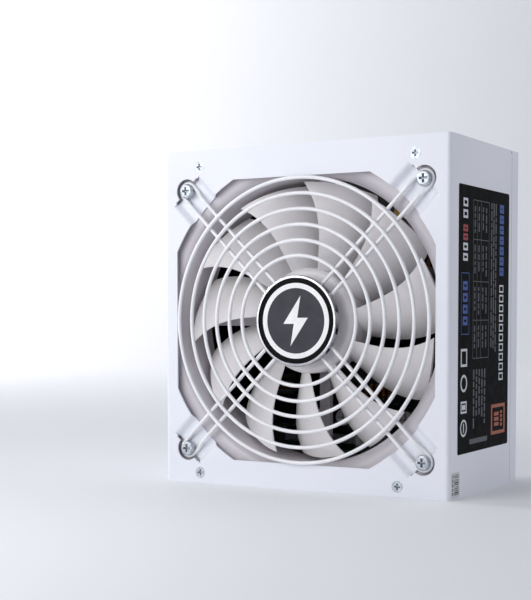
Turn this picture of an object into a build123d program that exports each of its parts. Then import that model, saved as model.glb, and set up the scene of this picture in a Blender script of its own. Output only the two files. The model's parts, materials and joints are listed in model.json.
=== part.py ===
from build123d import *
import os
from math import cos, radians, sin, sqrt, tan

# A modular ATX power supply unit that stands on its socket end.
# X runs to the right, Y from the fan side to the back, Z up. The origin is the middle of the
# case's footprint. The fan side faces -Y, the mains end is on top and the socket end below.

# ---------------------------------------------------------------- driving dimensions, in mm
case_width = 150.0
case_depth = 86.0
case_height = 160.0
sheet = 0.8
bend_radius = 2.0
flange_width = 10.5  # the base's side strips, behind the seam
seam_gap = 0.3
slip_gap = 0.1  # between sheets that slide over each other
lip_depth = 8.0
tab_width = 16.0
tab_overlap = 3.4  # how far a tab reaches past its screw
lip_end_gap = 3.2  # between the lips and the ends of the case
seam_notch = 3.0
tapped_screw_margin = 0.2  # between the fan screw and the cover's tongue

fan_size = 140.0
fan_thickness = 25.0
fan_hole_inset = 7.75
fan_center_z = 78.5
fan_flange = 4.5
fan_corner_radius = 7.0
throat_wall = 3.4  # from the fan's side to its throat
barrel_wall = 2.1
mouth_depth = 10.0
mouth_flare = 6.4
opening_side_margin = 2.0  # how far the cover's opening stays inside the fan's sides
opening_end_margin = 3.4
tongue_length = 12.4  # from the fan screw to the rim of the cover's opening
tongue_end_radius = 4.6
tongue_gap = 1.2
channel_half_width = 11.2
channel_floor_half_width = 6.4
channel_depth = 2.6
channel_run_out = 2.0  # how far the channel is drawn past the rim of the opening
slit_half_width = 8.3
slit_width = 0.6

wire = 1.8
weld_sink = 0.15  # how deep the wires are welded into each other
ring_pitch = 7.15
outer_ring_margin = 4.25  # from the fan's side to the outer ring's middle
ring_front_stand = 1.4  # the rings' middle in front of the cover
center_ring_radius = 17.5
leg_half_spacing = 3.45
loop_radius = 3.8  # of the wire's middle round the screw
leg_step_start = 8.2  # from the screw back to where the legs step down
leg_step_end = 3.2
leg_bend_radius = 3.0

badge_radius = 21.15
badge_rim = 1.3
badge_front_stand = 3.7
badge_recess = 0.35
badge_edge_round = 0.55
badge_disc_thickness = 0.5
badge_disc_gap = 0.1
badge_ring_outer = 17.4
badge_ring_inner = 15.05
print_thickness = 0.12
bolt_points = [(2.6, 11.6), (-6.4, -1.4), (-0.9, -1.4), (-2.6, -11.6), (6.4, 1.4), (0.9, 1.4)]

screw_pan_radius = 3.55
screw_pan_height = 2.0
screw_pan_length = 10.0
screw_pan_round = 1.1
pan_recess = (4.0, 1.5)  # size across and depth of the driver recess
countersunk_recess = (3.0, 1.0)
recess_arm_share = 0.27  # width of a recess's arm as a share of its size
recess_taper = 14.0
fan_screw_radius = 2.1
fan_hole_radius = 2.15
countersunk_head_radius = 2.7
countersunk_screw_radius = 1.5
countersunk_length = 5.5
screw_clearance = 0.05
cover_screw_spots = [(-55.0, 8.0, 1), (58.0, 8.0, 1), (-55.0, 4.8, 0), (50.0, 4.8, 0)]

blade_count = 11
hub_radius = 24.75
hub_wall = 1.6
hub_shoulder = 3.0
hub_front_gap = 3.1  # from the fan's front plane back to the hub
hub_length = 16.9
blade_tip_gap = 2.1
blade_chord_angle = 27.7
blade_depth = 16.0
blade_root_depth = 1.65  # how far the blades run into the hub
blade_front_gap = 4.3
blade_thickness = 1.7
blade_camber = 0.075
blade_edge_share = 0.3  # thickness at the edges as a share of the middle
blade_sweep = [(20.0, 74.5), (37.0, 80.5), (48.0, 84.0), (58.0, 88.8), (70.0, 97.0)]

strut_width = 5.5
motor_plate = 3.0
motor_plate_radius = 22.5
shaft_radius = 1.5
shaft_running_gap = 0.03
bearing_radius = 3.6
bearing_tube_wall = 1.4
yoke_wall = 0.8
magnet_thickness = 1.8
magnet_length = 12.0
air_gap = 0.5
stack_length = 9.0
hub_side_wall = 2.45
shaft_boss_length = 3.2
shaft_boss_radius = 4.4
shaft_end_gap = 1.2  # from the fan's rear to the shaft's end
clip_thickness = 0.4
clip_groove_depth = 0.4
clip_rim = 1.1
clip_mouth = 1.4
clip_gap = 0.3
bearing_floor = 0.8
screw_boss_wall = 2.6
stator_rim = 2.2
stator_slot = 3.0
stator_hub_wall = 3.0
tooth_width = 6.0
winding_depth = 2.2
winding_gap = 0.25
winding_end = 1.6
fan_board_gap = 2.4  # from the motor plate forward to the front of the motor's board
fan_board_thickness = 1.2
fan_board_post_radius = 1.2
lead_radius = 0.8
lead_hole_gap = 1.2
lead_lie_gap = 0.3
fan_plug_size = (7.4, 5.8)

board_thickness = 1.6
standoff_height = 4.6
standoff_radius = 2.6
board_side_margin = 9.0
board_bottom_z = 20.0
board_top_gap = 10.0
board_screw_radius = 1.5
board_screw_gap = 0.1
board_screw_head = (2.8, 1.8)  # radius and height
board_screw_end_gap = 0.6
standoff_inset = (5.0, 6.0)  # from the board's sides and ends
insulation_thickness = 0.3
insulation_fold_radius = 1.2
insulation_margin = 2.0  # how far the film reaches past the board's ends
insulation_front_gap = 2.0  # from the fan's rear to the edges of the film's sides
standoff_film_gap = 0.4
emi_board_depth = 29.0  # below the mains end
emi_board_size = (32.0, 26.0)

inlet_spot = (46.0, 22.0)
inlet_flange = (31.0, 24.0, 2.0)
inlet_body = (27.0, 20.0, 17.0)
inlet_cavity = (24.4, 16.9, 15.4)
inlet_corner_cut = 5.0
inlet_corner_radius = 2.0
inlet_edge_round = 0.8
inlet_pin_spacing = (7.0, 4.0)  # live and neutral to each side, earth above them
inlet_pin_drop = 1.2  # live and neutral pins below the inlet's middle
inlet_pin_sink = 2.0  # below the mains end
inlet_pin_chamfer = 0.5
pin_blade = (2.0, 4.0)
cutout_gap = 0.15
switch_spot = (46.0, -3.5)
switch_bezel = (21.0, 15.0, 1.6)
switch_body = (19.0, 13.0, 15.0)
rocker_half_length = 8.4
rocker_width = 10.8
rocker_gap = 0.25
rocker_tilt = 10.0
pivot_radius = 1.2
pivot_gap = 0.05
pivot_depth = 2.0  # below the panel's outer face
pivot_reach = 0.7  # how far a pivot pin stands out of the rocker's side
pivot_end_gap = 0.1
rocker_crown = 0.2  # how far the rocker's middle is below the bezel
rocker_floor = 5.5  # below the pivot
switch_corner_radius = 1.2
switch_edge_round = 0.6
switch_terminal = (0.8, 4.8, 8.0)
switch_terminal_reach = 5.0
mains_wire_radius = 1.1
mains_wire_drops = [(0.0, 7.0), (6.0, 12.0), (13.0, 13.0)]  # back and below the terminals
mains_wire_reach = 17.0
mains_wire_rise = 5.0
earth_spot = (66.5, 12.0)
earth_screw_radius = 1.9
earth_screw_head = (2.9, 1.8)
earth_wire_radius = 1.0
earth_wire_foot = (60.7, 10.2)
lug_radius = 4.0
lug_thickness = 0.8
lug_barrel_radius = 1.6
lug_barrel_length = 7.0
lug_reach = 4.8

vent_pitch = 7.0
vent_web = 0.9
vent_columns = 12
vent_rows = 9
vent_left_margin = 12.0
vent_center_y = 4.0
rear_hole_radius = 1.8
rear_collar_height = 1.6
rear_collar_wall = 1.1
rear_hole_spots = [(-69.0, 37.0), (69.0, 37.0), (-69.0, -27.0), (45.0, -37.0)]

pin_pitch = 4.2
socket_cell = 3.7
socket_height = 9.6
socket_wall_extra = 1.2
socket_length = 12.8
socket_recess = 0.1
pin_size = 1.1
pin_sink = 3.0  # from the socket's face back to the pins
socket_floor = 2.0
socket_board_margin = 3.0
socket_row_high = 24.0
socket_row_low = 8.0
socket_24_spots = [(-36.0, socket_row_high)]
socket_8_spots = [(10.0, socket_row_high), (32.0, socket_row_high), (54.0, socket_row_high),
                  (54.0, socket_row_low), (32.0, socket_row_low)]
socket_6_spots = [(-54.0, socket_row_low), (-36.0, socket_row_low), (-18.0, socket_row_low)]

label_size = (63.2, 119.5)
label_center = (-2.6, 79.05)
label_thickness = 0.12
label_corner_radius = 1.0
serial_label_size = (9.5, 11.5)
serial_label_center = (-36.25, 6.3)

# What stands on the main board. Toroids: outer and inner radius, height.
filter_choke = dict(outer=9.0, inner=4.5, height=8.0)
pfc_choke = dict(outer=14.0, inner=7.0, height=14.0)
output_choke = dict(outer=12.0, inner=6.0, height=10.0)
filter_choke_turns = dict(turns=16, thick=1.2)
pfc_choke_turns = dict(turns=24, thick=1.3)
output_choke_turns = dict(turns=18, thick=1.5)
filter_choke_spot = (36.0, 7.0, 35.0)  # X, rise over the board, distance below its top
pfc_choke_spot = (44.0, 10.0, 54.0)  # X, rise over the board, Z
output_choke_spot = (-38.0, 14.5, 44.0)
winding_slack = 0.1
part_corner_radius = 0.6
# Boxes: X, Z, width, height along Z and reach. The first two hang from the board's top edge.
x_capacitor_items = [(25.0, 15.0, 9.0, 13.0, 20.0), (-13.0, 15.0, 18.0, 13.0, 22.0)]
relay_items = [(53.5, 108.0, 12.0, 18.0, 23.0)]
bridge_items = [(59.0, 84.0, 4.6, 24.0, 22.0)]
# Cylinders: X, Z, radius and reach.
y_capacitor_items = [(50.0, 25.0, 4.0, 5.5), (60.0, 25.0, 4.0, 5.5)]
bulk_capacitor_items = [(26.0, 86.0, 15.0, 45.0)]
output_capacitor_items = [(x, 29.5, 5.0, 22.0) for x in (-18.0, -6.5, 5.0, 16.5, 28.0, 39.5, 51.0)]
capacitor_rounds = (0.8, 1.2, 0.6)  # of the Y, bulk and output capacitors
# Heatsinks: X and Z of the middle, plate, fins as length, thickness, pitch and count, reach.
primary_heatsink = dict(spot=(2.0, 90.0), plate=(3.0, 62.0), fin=(9.0, 1.4), pitch=8.0, fins=8, side=-1,
                        reach=36.0)
secondary_heatsink = dict(spot=(-51.0, 108.0), plate=(3.0, 46.0), fin=(8.0, 1.4), pitch=9.0, fins=6, side=1,
                          reach=34.0)
# Transistors: their places along Z, then thickness, height and reach.
primary_transistors = dict(spots=(70.0, 90.0, 112.0), size=(5.0, 16.0, 20.0), side=1)
secondary_transistors = dict(spots=(92.0, 108.0, 124.0), size=(4.4, 10.0, 15.0), side=-1)
transistor_gap = 0.1
transistor_rise = 8.0
transistor_leg = (0.8, 1.2)
transformer_spot = (-24.0, 94.0)
transformer_core = (34.0, 30.0, 14.0)
transformer_window = (8.0, 21.0)
transformer_limb = 10.0
transformer_winding = (25.6, 20.6, 27.0)
transformer_rise = 2.0
transformer_gap = 0.2
busbar_spots = (-50.0, -25.0, 0.0, 25.0, 50.0)
busbar_width = 8.0
busbar_thickness = 1.2
busbar_rise = 2.0  # above the board's bottom edge
busbar_setback = 1.0

# ---------------------------------------------------------------- places worked out from them
half_width = case_width / 2
front_y = -case_depth / 2
back_y = case_depth / 2
inner_front_y = front_y + sheet
inner_back_y = back_y - sheet
seam_y = back_y - flange_width
inner_top_z = case_height - sheet
panel_front_y = inner_front_y + slip_gap
panel_half_width = half_width - sheet - slip_gap

fan_front_y = inner_front_y + channel_depth
fan_rear_y = fan_front_y + fan_thickness
fan_hole_pitch = fan_size - 2 * fan_hole_inset
fan_hole_reach = fan_hole_pitch / sqrt(2)
opening_radius = fan_hole_reach - tongue_length
outer_ring_radius = fan_size / 2 - outer_ring_margin
ring_count = int((outer_ring_radius - center_ring_radius) / ring_pitch)
throat_radius = fan_size / 2 - throat_wall
ring_y = front_y - ring_front_stand
leg_y = ring_y + wire - weld_sink
tongue_front_y = front_y + channel_depth
loop_y = tongue_front_y - wire / 2

board_back_y = inner_back_y - standoff_height
board_y = board_back_y - board_thickness
board_half_width = half_width - board_side_margin
board_top_z = case_height - board_top_gap

hub_front_y = fan_front_y + hub_front_gap
hub_rear_y = hub_front_y + hub_length
hub_inner_radius = hub_radius - hub_side_wall
yoke_front_y = hub_front_y + hub_wall
magnet_outer_radius = hub_inner_radius - yoke_wall
magnet_inner_radius = magnet_outer_radius - magnet_thickness
magnet_front_y = yoke_front_y + 2.0
plate_front_y = fan_rear_y - motor_plate
bearing_tube_radius = bearing_radius + bearing_tube_wall
bearing_front_y = magnet_front_y + 2.5
bearing_rear_y = plate_front_y + 0.6
stack_front_y = magnet_front_y + 1.5
stator_radius = magnet_inner_radius - air_gap
fan_board_y = plate_front_y - fan_board_gap

socket_board_z = socket_recess + socket_length
socket_board_top_z = socket_board_z + board_thickness
pivot_z = case_height - pivot_depth
emi_board_z = case_height - emi_board_depth
switch_rear_z = case_height - switch_body[2]
terminal_end_z = switch_rear_z - switch_terminal[2]
clip_y = bearing_rear_y + clip_gap
badge_front_y = front_y - badge_front_stand
badge_plate_back_y = ring_y - wire / 2
badge_disc_radius = badge_radius - badge_rim - badge_disc_gap
board_middle_z = (board_bottom_z + board_top_z) / 2
board_height = board_top_z - board_bottom_z
lead_start_y = fan_board_y + fan_board_thickness
lead_lie_y = fan_rear_y + lead_radius + lead_lie_gap
inlet_pin_spots = [
    (inlet_spot[0] - inlet_pin_spacing[0], inlet_spot[1] - inlet_pin_drop),
    (inlet_spot[0] + inlet_pin_spacing[0], inlet_spot[1] - inlet_pin_drop),
    (inlet_spot[0], inlet_spot[1] - inlet_pin_drop + inlet_pin_spacing[1]),
]
switch_terminal_spots = [(switch_spot[0] + side * switch_terminal_reach, switch_spot[1]) for side in (-1, 1)]
standoff_spots = [(side * (board_half_width - standoff_inset[0]), z) for side in (-1, 1)
                  for z in (board_bottom_z + standoff_inset[1], board_top_z - standoff_inset[1])]
socket_groups = [(socket_24_spots, 12), (socket_8_spots, 4), (socket_6_spots, 3)]

# The fan's lead, from the board in the motor along a strut and back to its plug on the main board.
fan_lead_route = [
    (-13.0, lead_start_y, fan_center_z), (-13.0, lead_lie_y, fan_center_z), (-24.0, lead_lie_y, 79.1),
    (-43.0, lead_lie_y, 78.2), (-58.0, lead_lie_y + 4.0, 76.6), (-62.0, 7.0, 72.5),
    (-60.0, 19.0, 70.0), (-60.0, 27.0, 70.0),
]
earth_lead_route = [
    (*earth_wire_foot, emi_board_z + board_thickness), (*earth_wire_foot, emi_board_z + 8.0),
    (earth_spot[0] - lug_reach, earth_spot[1], emi_board_z + 15.0),
    (earth_spot[0] - lug_reach, earth_spot[1], inner_top_z - lug_barrel_length),
]


def facing(y, x=0.0, z=0.0):
    """A plane that faces the fan side at depth y, X to the right and Z up."""
    return Plane(origin=(x, y, z), x_dir=(1, 0, 0), z_dir=(0, -1, 0))


def fan_plane(y):
    return facing(y, 0.0, fan_center_z)


def screw_point(angle):
    """The middle of the fan screw on the diagonal at this angle, as X and Z."""
    return (fan_hole_reach * cos(radians(angle)), fan_center_z + fan_hole_reach * sin(radians(angle)))


diagonals = [45.0, 135.0, 225.0, 315.0]
fan_axis = Axis((0, 0, fan_center_z), (0, 1, 0))


def cover_screw_point(spot):
    """X and Z of a cover screw: its distance is kept from the top edge or from the bottom edge."""
    x, inset, at_top = spot
    return (x, case_height - inset if at_top else inset)


cover_screw_points = [cover_screw_point(spot) for spot in cover_screw_spots]


# ---------------------------------------------------------------- case
def channel_plane(angle):
    """Across a pressed channel at its screw: local X across, local Y into the case."""
    x, z = screw_point(angle)
    inward = Vector(-cos(radians(angle)), 0, -sin(radians(angle)))
    across = Vector(0, 1, 0).cross(inward)
    return Plane(origin=(x, 0, z), x_dir=across, z_dir=inward)


def channel_outline(edge_y, floor_y, close_y):
    """The face between a channel's surface and a straight line at close_y, bent softly at all four edges."""
    left = [(-channel_half_width, edge_y), (-channel_floor_half_width, floor_y)]
    right = [(channel_floor_half_width, floor_y), (channel_half_width, edge_y)]
    with BuildSketch() as outline:
        with BuildLine():
            Spline(*left, tangents=[(1, 0), (1, 0)])
            Line(left[1], right[0])
            Spline(*right, tangents=[(1, 0), (1, 0)])
            Polyline(right[1], (channel_half_width, close_y), (-channel_half_width, close_y), left[0])
        make_face()
    return outline.sketch


def make_fan_cover():
    with BuildPart() as cover:
        with BuildSketch(Plane.XY) as section:
            with BuildLine():
                Polyline(
                    (-half_width, seam_y), (-half_width, front_y), (half_width, front_y),
                    (half_width, seam_y), (half_width - sheet, seam_y),
                    (half_width - sheet, inner_front_y), (sheet - half_width, inner_front_y),
                    (sheet - half_width, seam_y), close=True,
                )
            make_face()
            fillet(section.vertices().group_by(Axis.Y)[1], bend_radius - sheet)
            fillet(section.vertices().group_by(Axis.Y)[0], bend_radius)
        extrude(amount=case_height)
        # relief notches where the seam meets the mains end
        with Locations((half_width, seam_y, case_height), (-half_width, seam_y, case_height)):
            Box(3 * sheet, seam_notch, seam_notch, mode=Mode.SUBTRACT)
        # the round hole over each fan screw and the slits at its shoulders
        for angle in diagonals:
            x, z = screw_point(angle)
            with BuildSketch(facing(inner_front_y, x, z)):
                Circle(tongue_end_radius + tongue_gap)
                with Locations(Location((0, 0, 0), (0, 0, angle))):
                    Rectangle(slit_width, 2 * slit_half_width, align=(Align.MIN, Align.CENTER))
            extrude(amount=sheet, mode=Mode.SUBTRACT)
        # the pressed channels, each a trough of sheet with softly bent sides
        for angle in diagonals:
            with BuildSketch(channel_plane(angle)):
                add(channel_outline(inner_front_y, fan_front_y, front_y))
            extrude(amount=tongue_length + channel_run_out)
            with BuildSketch(channel_plane(angle)):
                add(channel_outline(front_y, tongue_front_y, front_y - sheet))
            extrude(amount=tongue_length + channel_run_out, mode=Mode.SUBTRACT)
            x, z = screw_point(angle)
            with BuildSketch(facing(fan_front_y, x, z)):
                Circle(tongue_end_radius)
            extrude(amount=sheet)
            with BuildSketch(facing(fan_front_y, x, z)):
                Circle(fan_hole_radius + tapped_screw_margin)
            extrude(amount=sheet, mode=Mode.SUBTRACT)
        # the fan opening: a rectangle with its corners rounded off by one circle
        with BuildSketch(fan_plane(fan_front_y)):
            Rectangle(fan_size - 2 * opening_side_margin, fan_size - 2 * opening_end_margin)
            Circle(opening_radius, mode=Mode.INTERSECT)
        extrude(amount=channel_depth + 2 * sheet, mode=Mode.SUBTRACT)
        for x, z in cover_screw_points:
            with Locations(facing(front_y, x, z)):
                CounterSinkHole(
                    countersunk_screw_radius + screw_clearance,
                    countersunk_head_radius + screw_clearance, depth=2 * sheet,
                    counter_sink_angle=90,
                )
    return cover


def make_base_chassis():
    with BuildPart() as base:
        with BuildSketch(Plane.XY) as section:
            start_y = seam_y + seam_gap
            with BuildLine():
                Polyline(
                    (-half_width, start_y), (-half_width, back_y), (half_width, back_y),
                    (half_width, start_y), (half_width - sheet, start_y),
                    (half_width - sheet, inner_back_y), (sheet - half_width, inner_back_y),
                    (sheet - half_width, start_y), close=True,
                )
            make_face()
            fillet(section.vertices().group_by(Axis.Y)[-2], bend_radius - sheet)
            fillet(section.vertices().group_by(Axis.Y)[-1], bend_radius)
        extrude(amount=case_height)
        # the lips that step inwards and run behind the cover's sides
        for side in (-1, 1):
            lip_x = side * (half_width - 1.5 * sheet - slip_gap)
            step_x = side * (half_width - sheet - slip_gap / 2)
            with Locations((lip_x, seam_y - lip_depth / 2 + sheet, case_height / 2)):
                Box(sheet, lip_depth + 2 * sheet, case_height - 2 * lip_end_gap)
            with Locations((step_x, seam_y + seam_gap + sheet / 2, case_height / 2)):
                Box(2 * sheet + slip_gap, sheet, case_height - 2 * lip_end_gap)
        # the socket end and the mains end
        panel_depth = back_y - bend_radius - panel_front_y
        for z in (0.0, inner_top_z):
            with BuildSketch(Plane.XY.offset(z)):
                with Locations((0, panel_front_y)):
                    panel = Rectangle(2 * panel_half_width, panel_depth + bend_radius - sheet / 2,
                                      align=(Align.CENTER, Align.MIN))
                fillet(panel.vertices().group_by(Axis.Y)[0], bend_radius)
            extrude(amount=sheet)
        # tabs behind the cover, one for each cover screw
        for (x, z), (_, inset, at_top) in zip(cover_screw_points, cover_screw_spots):
            top_tab_height = case_height - fan_center_z - fan_hole_pitch / 2 - channel_half_width + 2.0
            tab_height = top_tab_height if at_top else inset + tab_overlap
            tab_z = case_height - tab_height if at_top else 0.0
            with BuildSketch(facing(panel_front_y + sheet, x, tab_z)):
                Rectangle(tab_width, tab_height, align=(Align.CENTER, Align.MIN))
            extrude(amount=sheet)
        for x, z in cover_screw_points:
            with Locations(facing(front_y, x, z)):
                CounterSinkHole(
                    countersunk_screw_radius + screw_clearance,
                    countersunk_head_radius + screw_clearance, depth=3 * sheet,
                    counter_sink_angle=90,
                )
        # tapped holes of the mains end, with drawn collars inside
        with BuildSketch(Plane.XY.offset(inner_top_z - rear_collar_height)):
            with Locations(*rear_hole_spots):
                Circle(rear_hole_radius + rear_collar_wall)
        extrude(amount=rear_collar_height)
        with BuildSketch(Plane.XY.offset(inner_top_z - rear_collar_height)):
            with Locations(*rear_hole_spots):
                Circle(rear_hole_radius)
        extrude(amount=rear_collar_height + sheet, mode=Mode.SUBTRACT)
        # honeycomb vent
        vent_center_x = vent_left_margin - panel_half_width + vent_columns * vent_pitch / 2
        with BuildSketch(Plane.XY.offset(inner_top_z)):
            with Locations((vent_center_x, vent_center_y)):
                with HexLocations(vent_pitch / 2, vent_columns, vent_rows):
                    RegularPolygon((vent_pitch - vent_web) / 2, 6, major_radius=False)
        extrude(amount=sheet, mode=Mode.SUBTRACT)
        # cut-outs for the inlet, the switch and the earth screw
        with BuildSketch(Plane.XY.offset(inner_top_z)):
            with Locations(inlet_spot):
                Rectangle(inlet_body[0] + 2 * cutout_gap, inlet_body[1] + 2 * cutout_gap)
            with Locations(switch_spot):
                Rectangle(switch_body[0] + 2 * cutout_gap, switch_body[1] + 2 * cutout_gap)
            with Locations(earth_spot):
                Circle(earth_screw_radius + screw_clearance)
        extrude(amount=sheet, mode=Mode.SUBTRACT)
        # cut-outs for the sockets
        with BuildSketch(Plane.XY):
            for spots, columns in socket_groups:
                with Locations(*spots):
                    Rectangle(socket_width(columns) + 2 * cutout_gap, socket_height + 2 * cutout_gap)
        extrude(amount=sheet, mode=Mode.SUBTRACT)
    return base


def cross_recess(plane, size, depth):
    """The shape that a cross-shaped driver recess takes out of a head at this plane."""
    with BuildPart() as recess:
        with BuildSketch(plane):
            Rectangle(size, size * recess_arm_share)
            Rectangle(size * recess_arm_share, size)
        extrude(amount=-depth, taper=recess_taper)
    return recess.part


def make_cover_screws():
    recesses = [cross_recess(facing(front_y, x, z), *countersunk_recess) for x, z in cover_screw_points]
    with BuildPart() as screws:
        for x, z in cover_screw_points:
            head_depth = countersunk_head_radius - countersunk_screw_radius
            with BuildSketch(facing(front_y, x, z)):
                Circle(countersunk_head_radius)
            extrude(amount=-head_depth, taper=45)
            with BuildSketch(facing(front_y + head_depth, x, z)):
                Circle(countersunk_screw_radius)
            extrude(amount=head_depth - countersunk_length)
        add(recesses, mode=Mode.SUBTRACT)
    return screws


def make_grille_screws():
    """Pan screws whose heads seat on the guard's loops."""
    seat_y = loop_y - sqrt((wire / 2) ** 2 - (loop_radius - screw_pan_radius) ** 2)
    head_y = seat_y - screw_pan_height
    recesses = [cross_recess(facing(head_y, *screw_point(angle)), *pan_recess) for angle in diagonals]
    with BuildPart() as screws:
        for angle in diagonals:
            x, z = screw_point(angle)
            with BuildSketch(facing(seat_y, x, z)):
                Circle(screw_pan_radius)
            extrude(amount=screw_pan_height)
        fillet(screws.edges().group_by(Axis.Y)[0], screw_pan_round)
        for angle in diagonals:
            x, z = screw_point(angle)
            with BuildSketch(facing(seat_y, x, z)):
                Circle(fan_screw_radius)
            extrude(amount=-(screw_pan_length + wire))
        add(recesses, mode=Mode.SUBTRACT)
    return screws


# ---------------------------------------------------------------- fan guard and badge
def leg_route(side):
    """One leg of a guard loop from under the badge to its screw: outwards, across and depth."""
    return [
        (center_ring_radius - wire, side * leg_half_spacing, leg_y),
        (fan_hole_reach - leg_step_start, side * leg_half_spacing, leg_y),
        (fan_hole_reach - leg_step_end, side * loop_radius, loop_y),
        (fan_hole_reach, side * loop_radius, loop_y),
    ]


def make_fan_grille():
    with BuildPart() as grille:
        radii = [outer_ring_radius - n * ring_pitch for n in range(ring_count)] + [center_ring_radius]
        for radius in radii:
            with BuildSketch(Plane((radius, ring_y, fan_center_z), x_dir=(1, 0, 0), z_dir=(0, 0, 1))):
                Circle(wire / 2)
            revolve(axis=fan_axis)
        for angle in diagonals:
            out = Vector(cos(radians(angle)), 0, sin(radians(angle)))
            frame = Plane(origin=(0, 0, fan_center_z), x_dir=out, z_dir=out.cross(Vector(0, 1, 0)) * -1)
            with BuildLine() as path:
                points = [guard_point(frame, p) for p in leg_route(1)]
                back = [guard_point(frame, p) for p in reversed(leg_route(-1))]
                tip = guard_point(frame, (fan_hole_reach + loop_radius, 0, loop_y))
                run_out = FilletPolyline(*points, radius=leg_bend_radius)
                ThreePointArc(points[-1], tip, back[0])
                FilletPolyline(*back, radius=leg_bend_radius)
            with BuildSketch(Plane(origin=run_out @ 0, z_dir=run_out % 0)):
                Circle(wire / 2)
            sweep(path=path.wires()[0])
    return grille


def guard_point(frame, point):
    """Turns (outwards, across, depth) on a diagonal into a point of the part."""
    u, v, y = point
    out = frame.x_dir
    across = Vector(-out.Z, 0, out.X)
    spot = Vector(0, 0, fan_center_z) + out * u + across * v
    return Vector(spot.X, y, spot.Z)


def make_badge_rim():
    rim_back_y = leg_y - wire / 2
    with BuildPart() as rim:
        with BuildSketch(fan_plane(rim_back_y)):
            Circle(badge_radius)
        extrude(amount=rim_back_y - badge_front_y)
        with BuildSketch(fan_plane(rim_back_y)):
            Circle(badge_radius - badge_rim)
        extrude(amount=rim_back_y - badge_plate_back_y, mode=Mode.SUBTRACT)
        fillet(rim.edges().group_by(Axis.Y)[0], badge_edge_round)
        with BuildSketch(fan_plane(badge_front_y)):
            Circle(badge_radius - badge_rim)
        extrude(amount=-badge_recess - badge_disc_thickness, mode=Mode.SUBTRACT)
    return rim


def make_badge_disc():
    with BuildPart() as disc:
        with BuildSketch(fan_plane(badge_front_y + badge_recess + badge_disc_thickness)):
            Circle(badge_disc_radius)
        extrude(amount=badge_disc_thickness)
    return disc


def make_badge_print():
    """The white ring and a plain lightning bolt, the usual sign for electric power."""
    with BuildPart() as mark:
        with BuildSketch(fan_plane(badge_front_y + badge_recess)):
            Circle(badge_ring_outer)
            Circle(badge_ring_inner, mode=Mode.SUBTRACT)
            with BuildLine():
                Polyline(*bolt_points, close=True)
            make_face()
        extrude(amount=print_thickness)
    return mark


# ---------------------------------------------------------------- labels
def make_label(size, center, thickness):
    with BuildPart() as label:
        with BuildSketch(Plane.YZ.offset(half_width)):
            with Locations(center):
                RectangleRounded(size[0], size[1], label_corner_radius)
        extrude(amount=thickness)
    return label


# ---------------------------------------------------------------- fan
def make_fan_frame():
    with BuildPart() as frame:
        for rear_y in (fan_front_y + fan_flange, fan_rear_y):
            with BuildSketch(fan_plane(rear_y)):
                RectangleRounded(fan_size, fan_size, fan_corner_radius)
            extrude(amount=fan_flange)
        with BuildSketch(fan_plane(fan_rear_y)):
            Circle(throat_radius + barrel_wall)
            with GridLocations(fan_hole_pitch, fan_hole_pitch, 2, 2):
                Circle(fan_hole_radius + screw_boss_wall)
        extrude(amount=fan_thickness)
        # the throat and its flared mouth
        with BuildSketch(Plane.XY.offset(fan_center_z)):
            mouth_y = fan_front_y + mouth_depth
            mouth_radius = throat_radius + mouth_flare
            with BuildLine():
                Polyline(
                    (mouth_radius, fan_front_y), (mouth_radius, fan_front_y - 1.0), (0, fan_front_y - 1.0),
                    (0, fan_rear_y + 1.0), (throat_radius, fan_rear_y + 1.0), (throat_radius, mouth_y),
                )
                EllipticalCenterArc((mouth_radius, mouth_y), mouth_flare, mouth_depth, 180, arc_size=90)
            make_face()
        revolve(axis=fan_axis, mode=Mode.SUBTRACT)
        # motor plate, its struts and the bearing tube
        with BuildSketch(fan_plane(fan_rear_y)):
            Circle(motor_plate_radius)
            Rectangle(2 * throat_radius + barrel_wall, strut_width)
            Rectangle(strut_width, 2 * throat_radius + barrel_wall)
        extrude(amount=motor_plate)
        with BuildSketch(fan_plane(plate_front_y)):
            Circle(bearing_tube_radius)
        extrude(amount=plate_front_y - bearing_front_y)
        with BuildSketch(fan_plane(fan_rear_y - bearing_floor)):
            Circle(bearing_radius)
        extrude(amount=fan_rear_y - bearing_floor - bearing_front_y, mode=Mode.SUBTRACT)
        with BuildSketch(fan_plane(plate_front_y)):
            with PolarLocations(stator_radius - 2 * fan_board_post_radius, 3, start_angle=60):
                Circle(fan_board_post_radius)
        extrude(amount=plate_front_y - fan_board_y - fan_board_thickness)
        # screw holes and the hole where the lead leaves the motor
        with BuildSketch(fan_plane(fan_rear_y)):
            with GridLocations(fan_hole_pitch, fan_hole_pitch, 2, 2):
                Circle(fan_hole_radius)
            with Locations((fan_lead_route[0][0], 0)):
                Circle(lead_radius + lead_hole_gap)
        extrude(amount=fan_thickness, mode=Mode.SUBTRACT)
    return frame


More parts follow.
